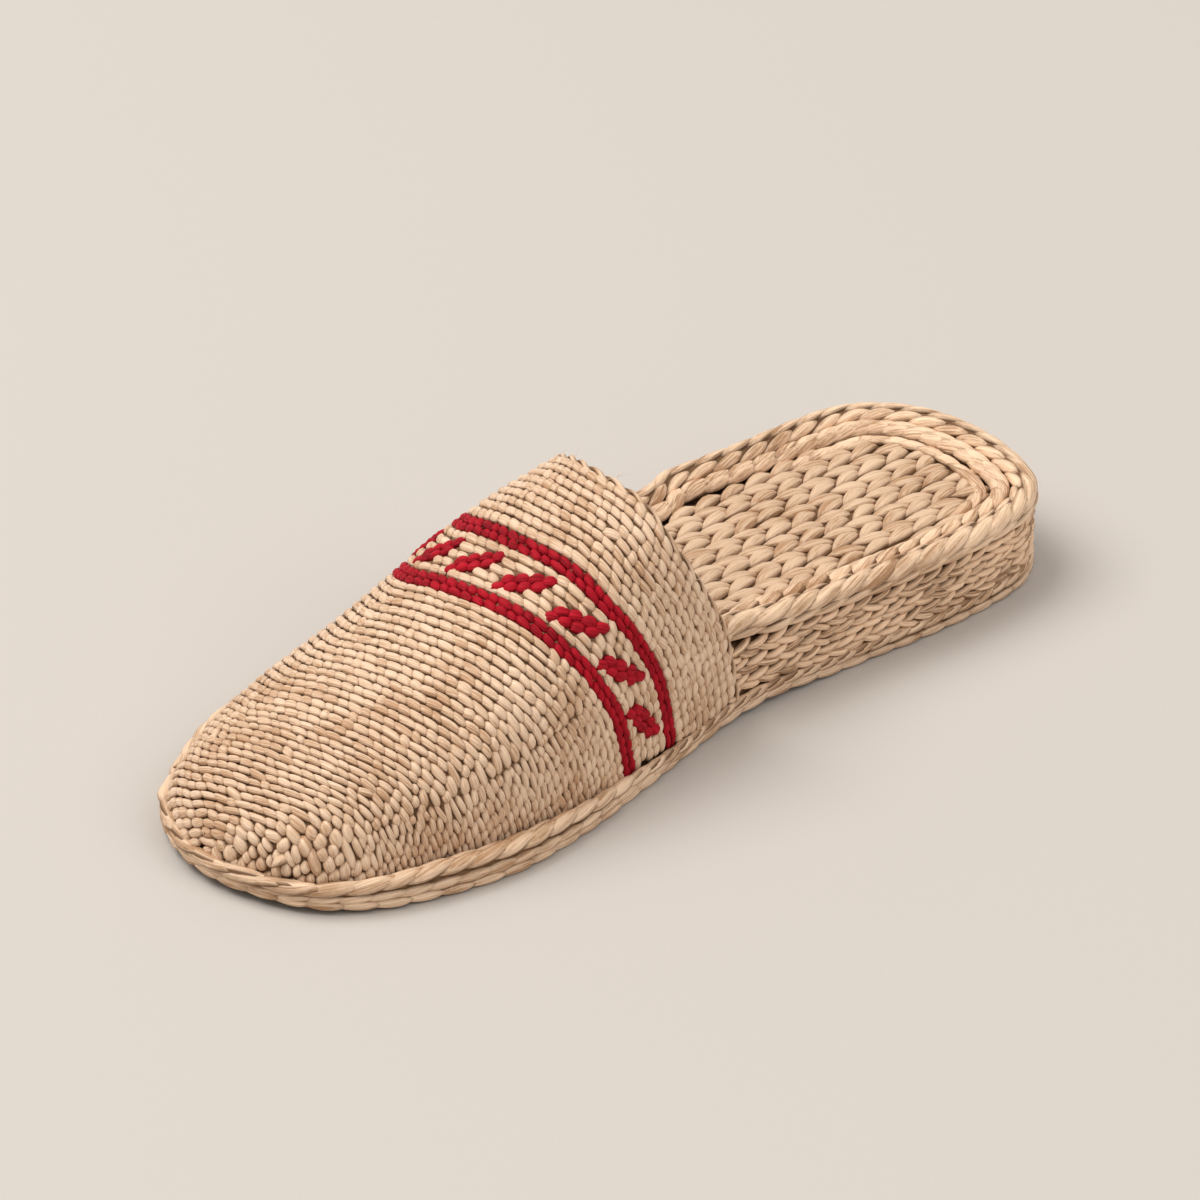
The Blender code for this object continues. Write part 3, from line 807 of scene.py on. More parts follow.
def straw_material(name, pale, middle, dark, shade, across, along, spread=0.3, coat=0.08, gloss=0.35):
    """A straw finish that reads the grain, tone and painted shade share of its piece, with shade as the
    painted shade colour.
    """
    material, tree, shader = new_material(name)
    grain = field(tree, "ShaderNodeAttribute", output="Vector", attribute_name="grain")
    tone, tuck = (field(tree, "ShaderNodeAttribute", output="Fac", attribute_name=label)
                  for label in ("tone", "tuck"))
    fibre = add(tree, "ShaderNodeGroup", node_tree=fibre_group())
    fill(tree, fibre, {"Grain": grain, "Tone": tone, "Across": across, "Along": along})
    lines, streaks = (Field(tree, fibre.outputs[label]) for label in ("Lines", "Streaks"))
    where = field(tree, "ShaderNodeTexCoord", output="Object")
    blotch = field(tree, "ShaderNodeTexNoise", {"Vector": where, "Scale": 60.0, "Detail": 2.0})
    colour = add(tree, "ShaderNodeGroup", node_tree=tone_group())
    fill(tree, colour, {
        "Pale": (*pale, 1.0), "Middle": (*middle, 1.0), "Dark": (*dark, 1.0), "Shade": (*shade, 1.0),
        "Spread": spread, "Tone": tone, "Lines": lines, "Streaks": streaks, "Painted Shade": tuck,
        "Blotch": blotch.remapped(0.3, 0.7)})
    fill(tree, shader, {
        "Base Color": Field(tree, colour.outputs[0]), "Roughness": lines.remapped(0.0, 1.0, 0.62, 0.44),
        "Normal": bumped(tree, lines + streaks * 1.6, 0.6, 0.28 * MM), "Coat Weight": coat,
        "Coat Roughness": 0.4, "Specular IOR Level": gloss})
    return material


def shade_filling_material(name, light, dark):
    """Dark straw as painted shade, for what shows in the gaps between the outer straws."""
    material, tree, shader = new_material(name)
    where = field(tree, "ShaderNodeTexCoord", output="Object")
    stretch = field(tree, "ShaderNodeMapping", {"Vector": where, "Scale": (300.0, 900.0, 900.0)})
    noise = field(tree, "ShaderNodeTexNoise", {"Vector": stretch, "Scale": 1.0, "Detail": 3.0})
    part = noise.remapped(0.35, 0.65)
    fill(tree, shader, {"Base Color": mixed(tree, part, (*dark, 1.0), (*light, 1.0)),
                        "Normal": bumped(tree, part, 0.5, 0.3 * MM), "Roughness": 0.8})
    return material


def tinted(colour, factor, warmth=0.0):
    """A lighter, darker, warmer or cooler neighbour of a colour."""
    red, green, blue = (min(1.0, channel * factor) for channel in colour)
    return (red, green * (1 - 0.52 * warmth), blue * (1 - warmth))


def tinted_straw(name, straw, pale, middle, dark, shade, **fibre):
    """A straw finish whose four colours are (factor, warmth) tints of one; the last is its painted shade
    colour.
    """
    tints = (tinted(straw, *tint) for tint in (pale, middle, dark, shade))
    return straw_material(name, *tints, **fibre)


# ---------------------------------------------------------------- settings

def length_setting(name, description, default, low, high):
    """A length, given here in millimetres."""
    return bpy.props.FloatProperty(
        name=name, description=description, default=default * MM, min=low * MM, max=high * MM,
        subtype="DISTANCE", unit="LENGTH")


def angle_setting(name, description, default, **limits):
    """An angle, given here in degrees."""
    return bpy.props.FloatProperty(
        name=name, description=description, default=radians(default), subtype="ANGLE", unit="ROTATION",
        **limits)


def colour_setting(name, description, default):
    """A colour of three linear channels."""
    return bpy.props.FloatVectorProperty(
        name=name, description=description, default=default, size=3, min=0.0, max=1.0, subtype="COLOR")


class SlipperUpperSettings(bpy.types.PropertyGroup):
    """Sizes and colours of the twined upper."""
    stitch_length: length_setting("Stitch length", "Distance between two stitches of a row", 4.5, 2, 12)
    stitch_thickness: length_setting("Stitch thickness", "Thickness of one stitch", 2.0, 0.5, 4)
    stitch_slant: angle_setting("Stitch slant", "How far a stitch leans out of its row", 8,
                                min=0.0, max=radians(45))
    side_closeness: bpy.props.FloatProperty(
        name="Side closeness", description="How much closer the rows lie at the medial side of the toe",
        default=1.35, min=1.0, max=2.0)
    side_split: bpy.props.FloatProperty(
        name="Side split", description="Angle up the medial side, in degrees, at which the closer rows end",
        default=31.0, min=5.0, max=60.0)
    dash_spacing: length_setting("Dash spacing", "Distance between two red dashes", 17.8, 8, 60)
    dash_length: length_setting("Dash length", "Length of a red dash", 15.0, 4, 40)
    dash_width: length_setting("Dash width", "Width of a red dash", 6.2, 2, 20)
    straw_colour: colour_setting("Straw colour", "Middle colour of the natural straw", (0.78, 0.545, 0.37))
    dyed_colour: colour_setting("Dyed colour", "Middle colour of the dyed straw", (0.41, 0.007, 0.018))


class SlipperSoleSettings(bpy.types.PropertyGroup):
    """Sizes and colours of the plaited sole."""
    leaf_length: length_setting("Leaf length", "Length of a footbed leaf", 13.6, 4, 30)
    leaf_step: length_setting("Leaf step", "Distance between two chevrons of a column", 8.9, 4, 30)
    column_spacing: length_setting("Column spacing", "Distance between two columns of chevrons", 7.6, 4, 20)
    rim_step: length_setting("Rim step", "Distance between two strands of the rim", 8.4, 4, 30)
    straw_colour: colour_setting("Straw colour", "Middle colour of the sole's straw", (0.75, 0.52, 0.345))


class SlipperStageSettings(bpy.types.PropertyGroup):
    """Camera and studio light."""
    heading: angle_setting("Heading", "Compass direction from the slipper to the camera", 47.86)
    elevation: angle_setting("Elevation", "Downward tilt of the camera", 32.78)
    floor_colour: colour_setting("Floor colour", "Colour of the studio floor", (0.566, 0.526, 0.487))


def seated(piece, slot_name, *nodes):
    """Makes a piece ride on the shoe's body and hides the solids that it stands for; slot_name is not used.
    """
    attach(piece, BODY)
    if nodes:
        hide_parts(*nodes)
    return piece


# ---------------------------------------------------------------- paths round the sole

# A cord round the sole: its inset from the outline and its height over the underside, both from the place
# along and the side, and its half width and half height, from the place along
Cord = namedtuple("Cord", "inset height half")

TURN_STEP = 0.004           # part of a turn over which a path's direction is taken
SPEED_STEP = 0.01           # part of a turn over which its length per turn is taken


def fixed(*values):
    """A function that gives the same value everywhere, or the same tuple of them."""
    value = values[0] if len(values) == 1 else values
    return lambda *_: value


def even_turns(start, end, step):
    """Turns round the outline from start to end, evenly spaced in length; start may be negative."""
    fine = np.linspace(start, end, 4000)
    lengths = run_lengths(EDGE.point(fine))
    return np.interp(np.linspace(0, lengths[-1], round(lengths[-1] / step) + 1), lengths, fine)


def stations(start, end, step, phase=0.0):
    """Turns from start to end, a step apart; the step may change along the foot."""
    fine = np.linspace(start, end, 6000)
    points = EDGE.point(fine)
    gaps = np.linalg.norm(np.diff(points, axis=0), axis=1)
    counts = np.concatenate(([0.0], np.cumsum(gaps / step(points[1:, 0]))))
    number = round(counts[-1])
    return np.interp((np.arange(number) + phase) * counts[-1] / number, counts, fine)


def turn_at_place(along):
    """The turn of the medial side at a place along the foot; the lateral side's is its negative."""
    return acos(1 - 2 * along / LENGTH)


def path_point(turn, inset, height):
    """A point of a path that follows the outline, from its inset and its height over the underside."""
    along = EDGE.point(turn)[..., 0]
    medial = is_medial(turn)
    spot = EDGE.inset(turn, np.broadcast_to(inset(along, medial), along.shape))
    return place(spot[..., 0], spot[..., 1], clearance(along) + height(along, medial))


def path_directions(turn, inset, height):
    """Forwards along a path, out of the sole and upwards over the path."""
    ahead = Vector(path_point(turn - TURN_STEP, inset, height)
                   - path_point(turn + TURN_STEP, inset, height)).normalized()
    normal = EDGE.normal(turn)
    out = Vector((normal[0], normal[1], 0.0))
    return ahead, out, out.cross(ahead).normalized()


# Strands that wrap over a cord
STRAND_POINTS = 11
STRAND_END = 0.995          # share of its half length at which a strand's last point lies
STRAND_DIP = 0.12           # share by which a strand's ends lie closer to the cord's middle
STRAND_TAPER = (1.9, 0.8)   # exponents of its width along it
STRAND_SWELL = (2.6, 0.5)   # exponents of its thickness along it
STRAND_SWING = 2.5          # degrees by which strands differ in their place round the cord
STRAND_WOBBLE = 0.2 * MM    # and in their height over it
STRAND_LAP = 0.35 * MM      # how much one end of a strand lies lower than the other
LEAST_REACH = 0.3 * MM


def wrapped_row(turns, cord, facing, sweep, size, rng, lap=STRAND_LAP):
    """Strands wrapped over a cord; each rises on its outside and crosses inwards.

    facing is where the middle of a strand lies round the cord and sweep how far round it goes, in degrees
    from straight out. size gives a strand's length, width and thickness from the place along.
    """
    strands = []
    for turn in turns:
        along = float(EDGE.point(turn)[0])
        length, width, thickness = size(along)
        reach = [radius - thickness / 2 for radius in cord.half(along)]
        ends = [path_point(np.array(turn + step), cord.inset, cord.height)
                for step in (SPEED_STEP, -SPEED_STEP)]
        speed = np.linalg.norm(ends[0] - ends[1]) / (2 * SPEED_STEP)
        length *= rng.uniform(0.94, 1.06)
        width *= rng.uniform(0.93, 1.07)
        middle = radians(facing) + radians(rng.normal(0.0, STRAND_SWING))
        lift = rng.uniform(-0.5, 0.5) * STRAND_WOBBLE
        line = []
        for t in np.linspace(-STRAND_END, STRAND_END, STRAND_POINTS):
            spot = np.array(turn - t * length / 2 / speed)
            _, out, over = path_directions(spot, cord.inset, cord.height)
            angle = middle + radians(sweep) / 2 * t
            near = 1 - STRAND_DIP * t * t
            rise = lift + lap * (t - 0.6)
            point = Vector(path_point(spot, cord.inset, cord.height))
            point += out * ((reach[0] * near + rise) * cos(angle))
            point += over * ((reach[1] * near + rise) * sin(angle))
            face = (out * (cos(angle) / max(reach[0], LEAST_REACH))
                    + over * (sin(angle) / max(reach[1], LEAST_REACH))).normalized()
            taper = (1 - abs(t) ** STRAND_TAPER[0]) ** STRAND_TAPER[1]
            swell = (1 - abs(t) ** STRAND_SWELL[0]) ** STRAND_SWELL[1]
            # the last value, end, is painted shade towards the strand's ends
            line.append((point, width / 2 * max(taper, 0.05), thickness / 2 * max(swell, 0.08), face,
                         t * length / 2, abs(t) ** 5))
        strands.append((line, rng.uniform()))
    return strands


# ---------------------------------------------------------------- shells and fillings

def swept_core(name, turns, cord, closed, material, sides=12):
    """A plain round filling along a cord round the sole."""
    places = path_point(turns, cord.inset, cord.height)
    along = EDGE.point(turns)[:, 0]
    wide, tall = (np.broadcast_to(half, along.shape) for half in cord.half(along))
    verts = []
    for spot, normal, reach, rise in zip(places, EDGE.normal(turns), wide, tall):
        for side in range(sides):
            angle = 2 * pi * side / sides
            verts.append((spot[0] + normal[0] * reach * cos(angle), spot[1] + normal[1] * reach * cos(angle),
                          spot[2] + rise * sin(angle)))
    count = len(turns)
    faces = ring_faces(count, sides, closed)
    if not closed:
        faces.append(tuple(range(sides))[::-1])
        faces.append(tuple((count - 1) * sides + side for side in range(sides)))
    core = new_object(name, verts, faces=faces)
    core.data.shade_smooth()
    core.data.materials.append(material)
    return core


def filled_rings(name, levels, material, count=120):
    """A closed body through rings from the bottom up, each an (inset, height) pair of functions."""
    turns = 2 * pi * np.arange(count) / count
    verts = []
    for inset, height in levels:
        verts += list(path_point(turns, inset, height))
    faces = [(a, d, c, b) for a, b, c, d in ring_faces(len(levels), count)]
    for first, upward in ((0, False), ((len(levels) - 1) * count, True)):
        for index in range(count // 2):
            corners = [index, index + 1, (count - index - 1) % count, (count - index) % count]
            corners = [first + corner for corner in dict.fromkeys(corners)]
            faces.append(corners[::-1] if upward else corners)
    body = new_object(name, verts, faces=faces)
    body.data.shade_smooth()
    body.data.set_sharp_from_angle(angle=radians(40))
    body.data.materials.append(material)
    return body


def upper_shell(name, outer_depth, inner_depth, material, rows=64, across=44):
    """The hollow wall that carries the stitches, open at the collar and underneath."""
    verts = []
    angles = np.linspace(0, pi, across + 1)
    for depth in (outer_depth, inner_depth):
        form = UpperForm(depth)
        for row in np.linspace(0, ROW_COUNT, rows + 1):
            verts += list(upper_point(form, np.full_like(angles, row), angles))
    width = across + 1
    size = (rows + 1) * width
    faces = []
    for row in range(rows):
        for column in range(across):
            corner = row * width + column
            outer = (corner, corner + 1, corner + width + 1, corner + width)
            faces.append(outer)
            faces.append(tuple(size + index for index in outer[::-1]))
    for column in range(across):
        faces.append((column, size + column, size + column + 1, column + 1))
    for row in range(rows):
        low = row * width
        faces.append((low, low + width, size + low + width, size + low))
        high = low + across
        faces.append((high, size + high, size + high + width, high + width))
    shell = new_object(name, verts, faces=faces)
    work = bmesh.new()
    work.from_mesh(shell.data)
    bmesh.ops.remove_doubles(work, verts=work.verts, dist=0.01 * MM)
    work.to_mesh(shell.data)
    work.free()
    shell.data.materials.append(material)
    shell.data.shade_smooth()
    return shell


# ---------------------------------------------------------------- the upper's stitches

STITCH_DEPTH = 0.85 * MM    # how deep the middles of the outer stitches lie under the outside
LINING_DEPTH = 1.9 * MM
LINING_ROWS = 38
WHOLE_ROWS = 8              # rows behind the red lines, each over the whole section
SIDE_START = 19             # from this row on, the medial side takes closer rows
ROW_ROOM = 2.75 * MM        # usual distance between two rows
TIP_ROOM = (1.1 * MM, 1.9 * MM)  # rows that meet at the tip: every other one is left out, least width
SHORTEST = (0.8 * MM, 0.9 * MM)  # shortest stretch and shortest stitch
STITCH_OVERLAP = 0.4 * MM
STITCH_RISE = 0.05          # how far the front end of a stitch tips up out of the surface
FEW_PLUMP = 0.07            # share of plump stitches where the long ones lie
BULGE = 1.0 * MM            # how far the stitches stand out at the lateral side of the toe
FIRST_DASH = 12.6 * MM      # from the medial foot to the middle of the first dash
DASH_PARTS = 4              # stitches in each of the two rows of a dash

# Angles round the section (degrees) and rows over which the stitches change
PLUMP_ANGLES = (38, 72)     # the plump ones of the medial side give way to the long ones
PLUMP_ROW = 40              # and reach further round from this row on
LONGER_ANGLES = (38, 78)    # they grow longer towards the ridge
LONGER_ROWS = (5, 12)       # but not in the first rows
FORE_ROWS = (15, 21)        # in front of the red lines the pattern gets calmer
FLAT_ANGLES = (100, 140)    # those of the lateral side are flatter
FRONT_ROWS = (30, 40)       # but broader near the toe
BULGE_ANGLES = (90, 160)
BULGE_ROWS = (20, 42)

# Each kind of stitch: exponents of its width and thickness, cut and dip of its ends
STITCH_KINDS = {
    "long": dict(ends=(3.8, 0.5), swell=(4.2, 0.5), shear=-0.75, dip=(0.32, 0.0)),
    "plump": dict(ends=(3.0, 0.5), swell=(2.6, 0.5), shear=-0.5, dip=(0.25, 0.12)),
    "red": dict(ends=(3.4, 0.45), swell=(2.6, 0.5), shear=-0.55, dip=(0.3, 0.12)),
    "dash": dict(ends=(2.4, 0.55), swell=(2.6, 0.5), shear=0.15, dip=(0.3, 0.15)),
}


def row_lines(form, row, angles):
    """Points, unit tangents towards the medial side, toeward directions, normals and spacing of a row."""
    points = upper_point(form, np.full_like(angles, row), angles)
    ahead = upper_point(form, np.full_like(angles, min(row + 0.5, ROW_COUNT)), angles)
    behind = upper_point(form, np.full_like(angles, max(row - 0.5, 0.0)), angles)
    tangents = -np.gradient(points, axis=0)
    tangents /= np.linalg.norm(tangents, axis=1)[:, None] + 1e-12
    forward = ahead - behind
    forward -= np.sum(forward * tangents, axis=1)[:, None] * tangents
    spacing = np.linalg.norm(forward, axis=1)
    forward /= spacing[:, None] + 1e-12
    normals = np.cross(tangents, forward)
    centre = points.mean(axis=0) * (1, 1, 0)
    flip = np.sign(np.sum(normals * (points - centre), axis=1))
    flip[flip == 0] = 1
    return points, tangents, forward, normals * flip[:, None], spacing


class Row:
    """One row of the upper, and what is found at a length along it from the medial foot."""

    def __init__(self, form, row, angles, closeness=1.0):
        self.angles = angles
        self.tables = row_lines(form, row, angles)
        self.spacing = self.tables[4] * closeness
        self.arc = run_lengths(self.tables[0])
        self.length = float(self.arc[-1])

    def length_at(self, degrees):
        """The length along the row at an angle round the section."""
        return float(np.interp(radians(degrees), self.angles, self.arc))

    def angle_at(self, length):
        """The angle round the section, in degrees, at a length along the row."""
        return np.degrees(np.interp(length, self.arc, self.angles))

    def at(self, length):
        """Place, tangent, toeward direction, normal, spacing and angle at a length along the row."""
        indices = np.arange(len(self.angles))
        at = np.interp(length, self.arc, indices)
        found = [np.array([np.interp(at, indices, table[:, axis]) for axis in range(3)])
                 for table in self.tables[:4]]
        return (*found, float(np.interp(at, indices, self.spacing)),
                np.degrees(np.interp(at, indices, self.angles)))


def dash_centres(settings, length):
    """Places of the dashes along the middle row of their band, from the medial foot."""
    step = settings.dash_spacing
    return np.arange(FIRST_DASH - step, length + step, step)


def free_stretches(row, length, spacing, settings):
    """The stretches of a row that no dash crosses."""
    low, high = DASH_BAND
    if not low < row < high:
        return [(0.0, length)]
    # where the row's straight line enters and leaves the slanting ellipse of a dash
    half_long = settings.dash_length / 2
    half_wide = settings.dash_width / 2
    offset = (DASH_ROW - row) * spacing
    along, across = cos(DASH_SLANT), sin(DASH_SLANT)
    first = (along / half_long) ** 2 + (across / half_wide) ** 2
    middle = offset * along * across * (1 / half_long ** 2 - 1 / half_wide ** 2)
    last = (offset * across / half_long) ** 2 + (offset * along / half_wide) ** 2 - 1
    inside = middle ** 2 - first * last
    if inside <= 0:
        return [(0.0, length)]
    near = (-middle - inside ** 0.5) / first
    far = (-middle + inside ** 0.5) / first
    stretches = []
    start = 0.0
    for centre in dash_centres(settings, length):
        stretches.append((start, centre - far))
        start = centre - near
    stretches.append((start, length))
    return [(max(0.0, begin), min(length, end)) for begin, end in stretches
            if min(length, end) - max(0.0, begin) > 1.2 * MM]


def dash_stitches(settings, rng):
    """Every dash: two short rows of red stitches side by side, leaning out of the rows."""
    form = UpperForm(STITCH_DEPTH)
    angles = np.linspace(0.0, pi, 361)
    total = Row(form, DASH_ROW, angles).length
    along, across = cos(DASH_SLANT), sin(DASH_SLANT)
    pitch = settings.dash_length * 0.88 / DASH_PARTS
    stitches = []
    for centre in dash_centres(settings, total):
        for side in (-1, 1):
            for number in range(DASH_PARTS):
                lengthwise = (number - (DASH_PARTS - 1) / 2 + 0.28 * side) * pitch
                near_end = (2 * lengthwise / settings.dash_length) ** 2
                crosswise = side * settings.dash_width * 0.25 * (1 - 0.55 * near_end)
                length = centre - (lengthwise * along - crosswise * across)
                if not 0.8 * MM < length < total - 0.5 * MM:
                    continue
                towards_heel = lengthwise * across + crosswise * along
                row = Row(form, DASH_ROW - towards_heel / ROW_ROOM, angles)
                spot, tangent, forward, normal, _, _ = row.at(length)
                lie = tangent * along - forward * across + normal * STITCH_RISE
                size = (pitch * rng.uniform(1.3, 1.5), settings.dash_width * 0.56,
                        settings.stitch_thickness * 1.2)
                stitches.append((spot + normal * 0.2 * MM, lie, normal, size, rng.uniform()))
    return stitches


def stitch_ends(begin, end, pitch_at, rng, loose):
    """Ends of the stitches along one stretch of a row, their length following pitch_at."""
    fine = np.linspace(begin, end, 60)
    count = np.concatenate(([0.0], np.cumsum(np.diff(fine) / pitch_at(0.5 * (fine[1:] + fine[:-1])))))
    many = max(1, round(float(count[-1])))
    marks = np.linspace(0.0, many, many + 1)
    if many > 1:
        marks[1:-1] += rng.uniform(-0.22, 0.22, many - 1)
        if loose:
            marks[1:-1] += rng.uniform(-0.5, 0.5)
    return np.interp(marks / many * count[-1], count, fine)


def split_rows(begin, end, count, low_angle, high_angle):
    """A band of rows divided evenly, as (row, closeness, low angle, high angle)."""
    width = (end - begin) / count
    return [(begin + width * (number + 0.5), width, low_angle, high_angle) for number in range(count)]


def stitch_zones(settings, lining):
    """Rows and the stretch of angles each covers; the medial side of the toe takes closer rows."""
    if lining:
        return split_rows(0, LINING_ROWS, LINING_ROWS, 0.0, 180.0)
    split = settings.side_split
    side_rows = round((TIP_ROW - SIDE_START) * settings.side_closeness)
    zones = []
    for begin, end, count, low_angle, high_angle in (
            (0, WHOLE_ROWS, WHOLE_ROWS, 0.0, 180.0),
            (float(WHOLE_ROWS), REAR_LINE[0], 1, 0.0, 180.0),
            (*REAR_LINE, 2, 0.0, 180.0),
            (REAR_LINE[1], FRONT_LINE[0], 5, 0.0, 180.0),
            (*FRONT_LINE, 2, 0.0, 180.0),
            (FRONT_LINE[1], SIDE_START, 2, 0.0, 180.0),
            (SIDE_START, TIP_ROW, TIP_ROW - SIDE_START, split, 180.0),
            (SIDE_START, TIP_ROW, side_rows, 0.0, split),
            (TIP_ROW, ROW_COUNT, ROW_COUNT - TIP_ROW, 0.0, 180.0)):
        zones += split_rows(begin, end, count, low_angle, high_angle)
    return zones


def stitch_lean(settings, kind, lining, medial, forwards, rng):
    """How far a stitch leans out of its row; the natural ones of the lateral side lie calmer."""
    calm = 0.0 if kind == "red" else (1 - medial) * (0.75 + 0.25 * forwards)
    lean = settings.stitch_slant * (-1 if lining else 1 - calm) + radians(rng.normal(0.0, 2.0))
    if kind == "plump":
        lean += radians(rng.normal(0.0, 7.0))
    return lean


def row_stitches(row, found, span, red, lining, settings, rng):
    """The stitch at one place of a row, or several abreast where the rows lie far apart."""
    spot, tangent, forward, normal, gap, angle = found
    at_tip = row > TIP_ROW
    if at_tip and gap < TIP_ROOM[1]:
        if gap < TIP_ROOM[0] and int(row) % 2:
            return
        gap = TIP_ROOM[1]
    past_plump = PLUMP_ANGLES[1] - angle + 0.5 * max(0, row - PLUMP_ROW)
    medial = float(ease(past_plump, 0, PLUMP_ANGLES[1] - PLUMP_ANGLES[0]))
    flat = float(ease(angle, *FLAT_ANGLES))
    forwards = float(ease(row, *FORE_ROWS))
    front = float(ease(row, *FRONT_ROWS))
    bulge = float(ease(angle, *BULGE_ANGLES)) * float(ease(row, *BULGE_ROWS))
    copies = max(1, round(gap / ROW_ROOM))
    for copy in range(copies):
        where = spot + forward * gap * ((copy + 0.5) / copies - 0.5)
        if where[2] < upper_foot(where[0] + MIDDLE_ALONG) + GAP:
            continue
        kind = "red" if red else "long"
        if not red and not lining and rng.uniform() < FEW_PLUMP + 0.8 * medial + at_tip:
            kind = "plump"
        lean = stitch_lean(settings, kind, lining, medial, forwards, rng)
        lie = tangent * cos(lean) + forward * sin(lean) + normal * STITCH_RISE
        full = kind != "long"
        width = gap / copies * (rng.uniform(1.06, 1.18) if full else rng.uniform(0.92, 1.0))
        width *= 1 + 0.1 * flat * front
        length = span * (1.14 if full else 1.3) + STITCH_OVERLAP
        if copies > 1:
            length *= 0.85
        thick = settings.stitch_thickness * (1.1 if full else 1.0)
        thick *= 1 - 0.3 * flat * forwards * (1 - front)
        out = -normal if lining else normal
        if not lining:
            where = where + out * (bulge * BULGE)
        yield kind, (where, lie, out, (length, width, thick), rng.uniform())


def stitch_points(depth, settings, rng, lining=False):
    """Rows of stitches over the upper: long natural ones, plump natural ones and red ones."""
    form = UpperForm(depth)
    angles = np.linspace(0.0, pi, 721)
    kinds = {"long": [], "plump": [], "red": []}
    for row, closeness, low_angle, high_angle in stitch_zones(settings, lining):
        line = Row(form, row, angles, closeness)
        lower, upper = line.length_at(low_angle), line.length_at(high_angle)
        if low_angle > 0:
            lower += rng.uniform(-1.2, 1.2) * MM
        red = not lining and any(low < row < high for low, high in (REAR_LINE, FRONT_LINE))

        def pitch_at(at):
            """Stitches are longer towards the ridge, mostly in the middle rows."""
            by_row = 1 - 0.6 * ease(row, *FORE_ROWS) - 0.8 * (1 - ease(row, *LONGER_ROWS))
            longer = 0.2 * ease(line.angle_at(at), *LONGER_ANGLES) * by_row
            return settings.stitch_length * (0.80 + longer) * (0.9 if red else 1.0)

        stretches = [(lower, upper)]
        if not lining and low_angle == 0 and high_angle == 180:
            spacing = float(np.interp(line.length / 2, line.arc, line.spacing))
            stretches = free_stretches(row, line.length, spacing, settings)
        for begin, end in stretches:
            if end - begin < SHORTEST[0]:
                continue
            ends = stitch_ends(begin, end, pitch_at, rng, len(stretches) == 1)
            for left, right in zip(ends[:-1], ends[1:]):
                if right - left < SHORTEST[1]:
                    continue
                found = line.at((left + right) / 2)
                for kind, stitch in row_stitches(row, found, right - left, red, lining, settings, rng):
                    kinds[kind].append(stitch)
    return kinds


def stitch_shape(kind, rings=8, sides=8):
    """One stitch of a kind, at unit size."""
    return straw_shape("stitch", (5.6 * MM, 2.6 * MM, 2.0 * MM), rings, sides, **STITCH_KINDS[kind])


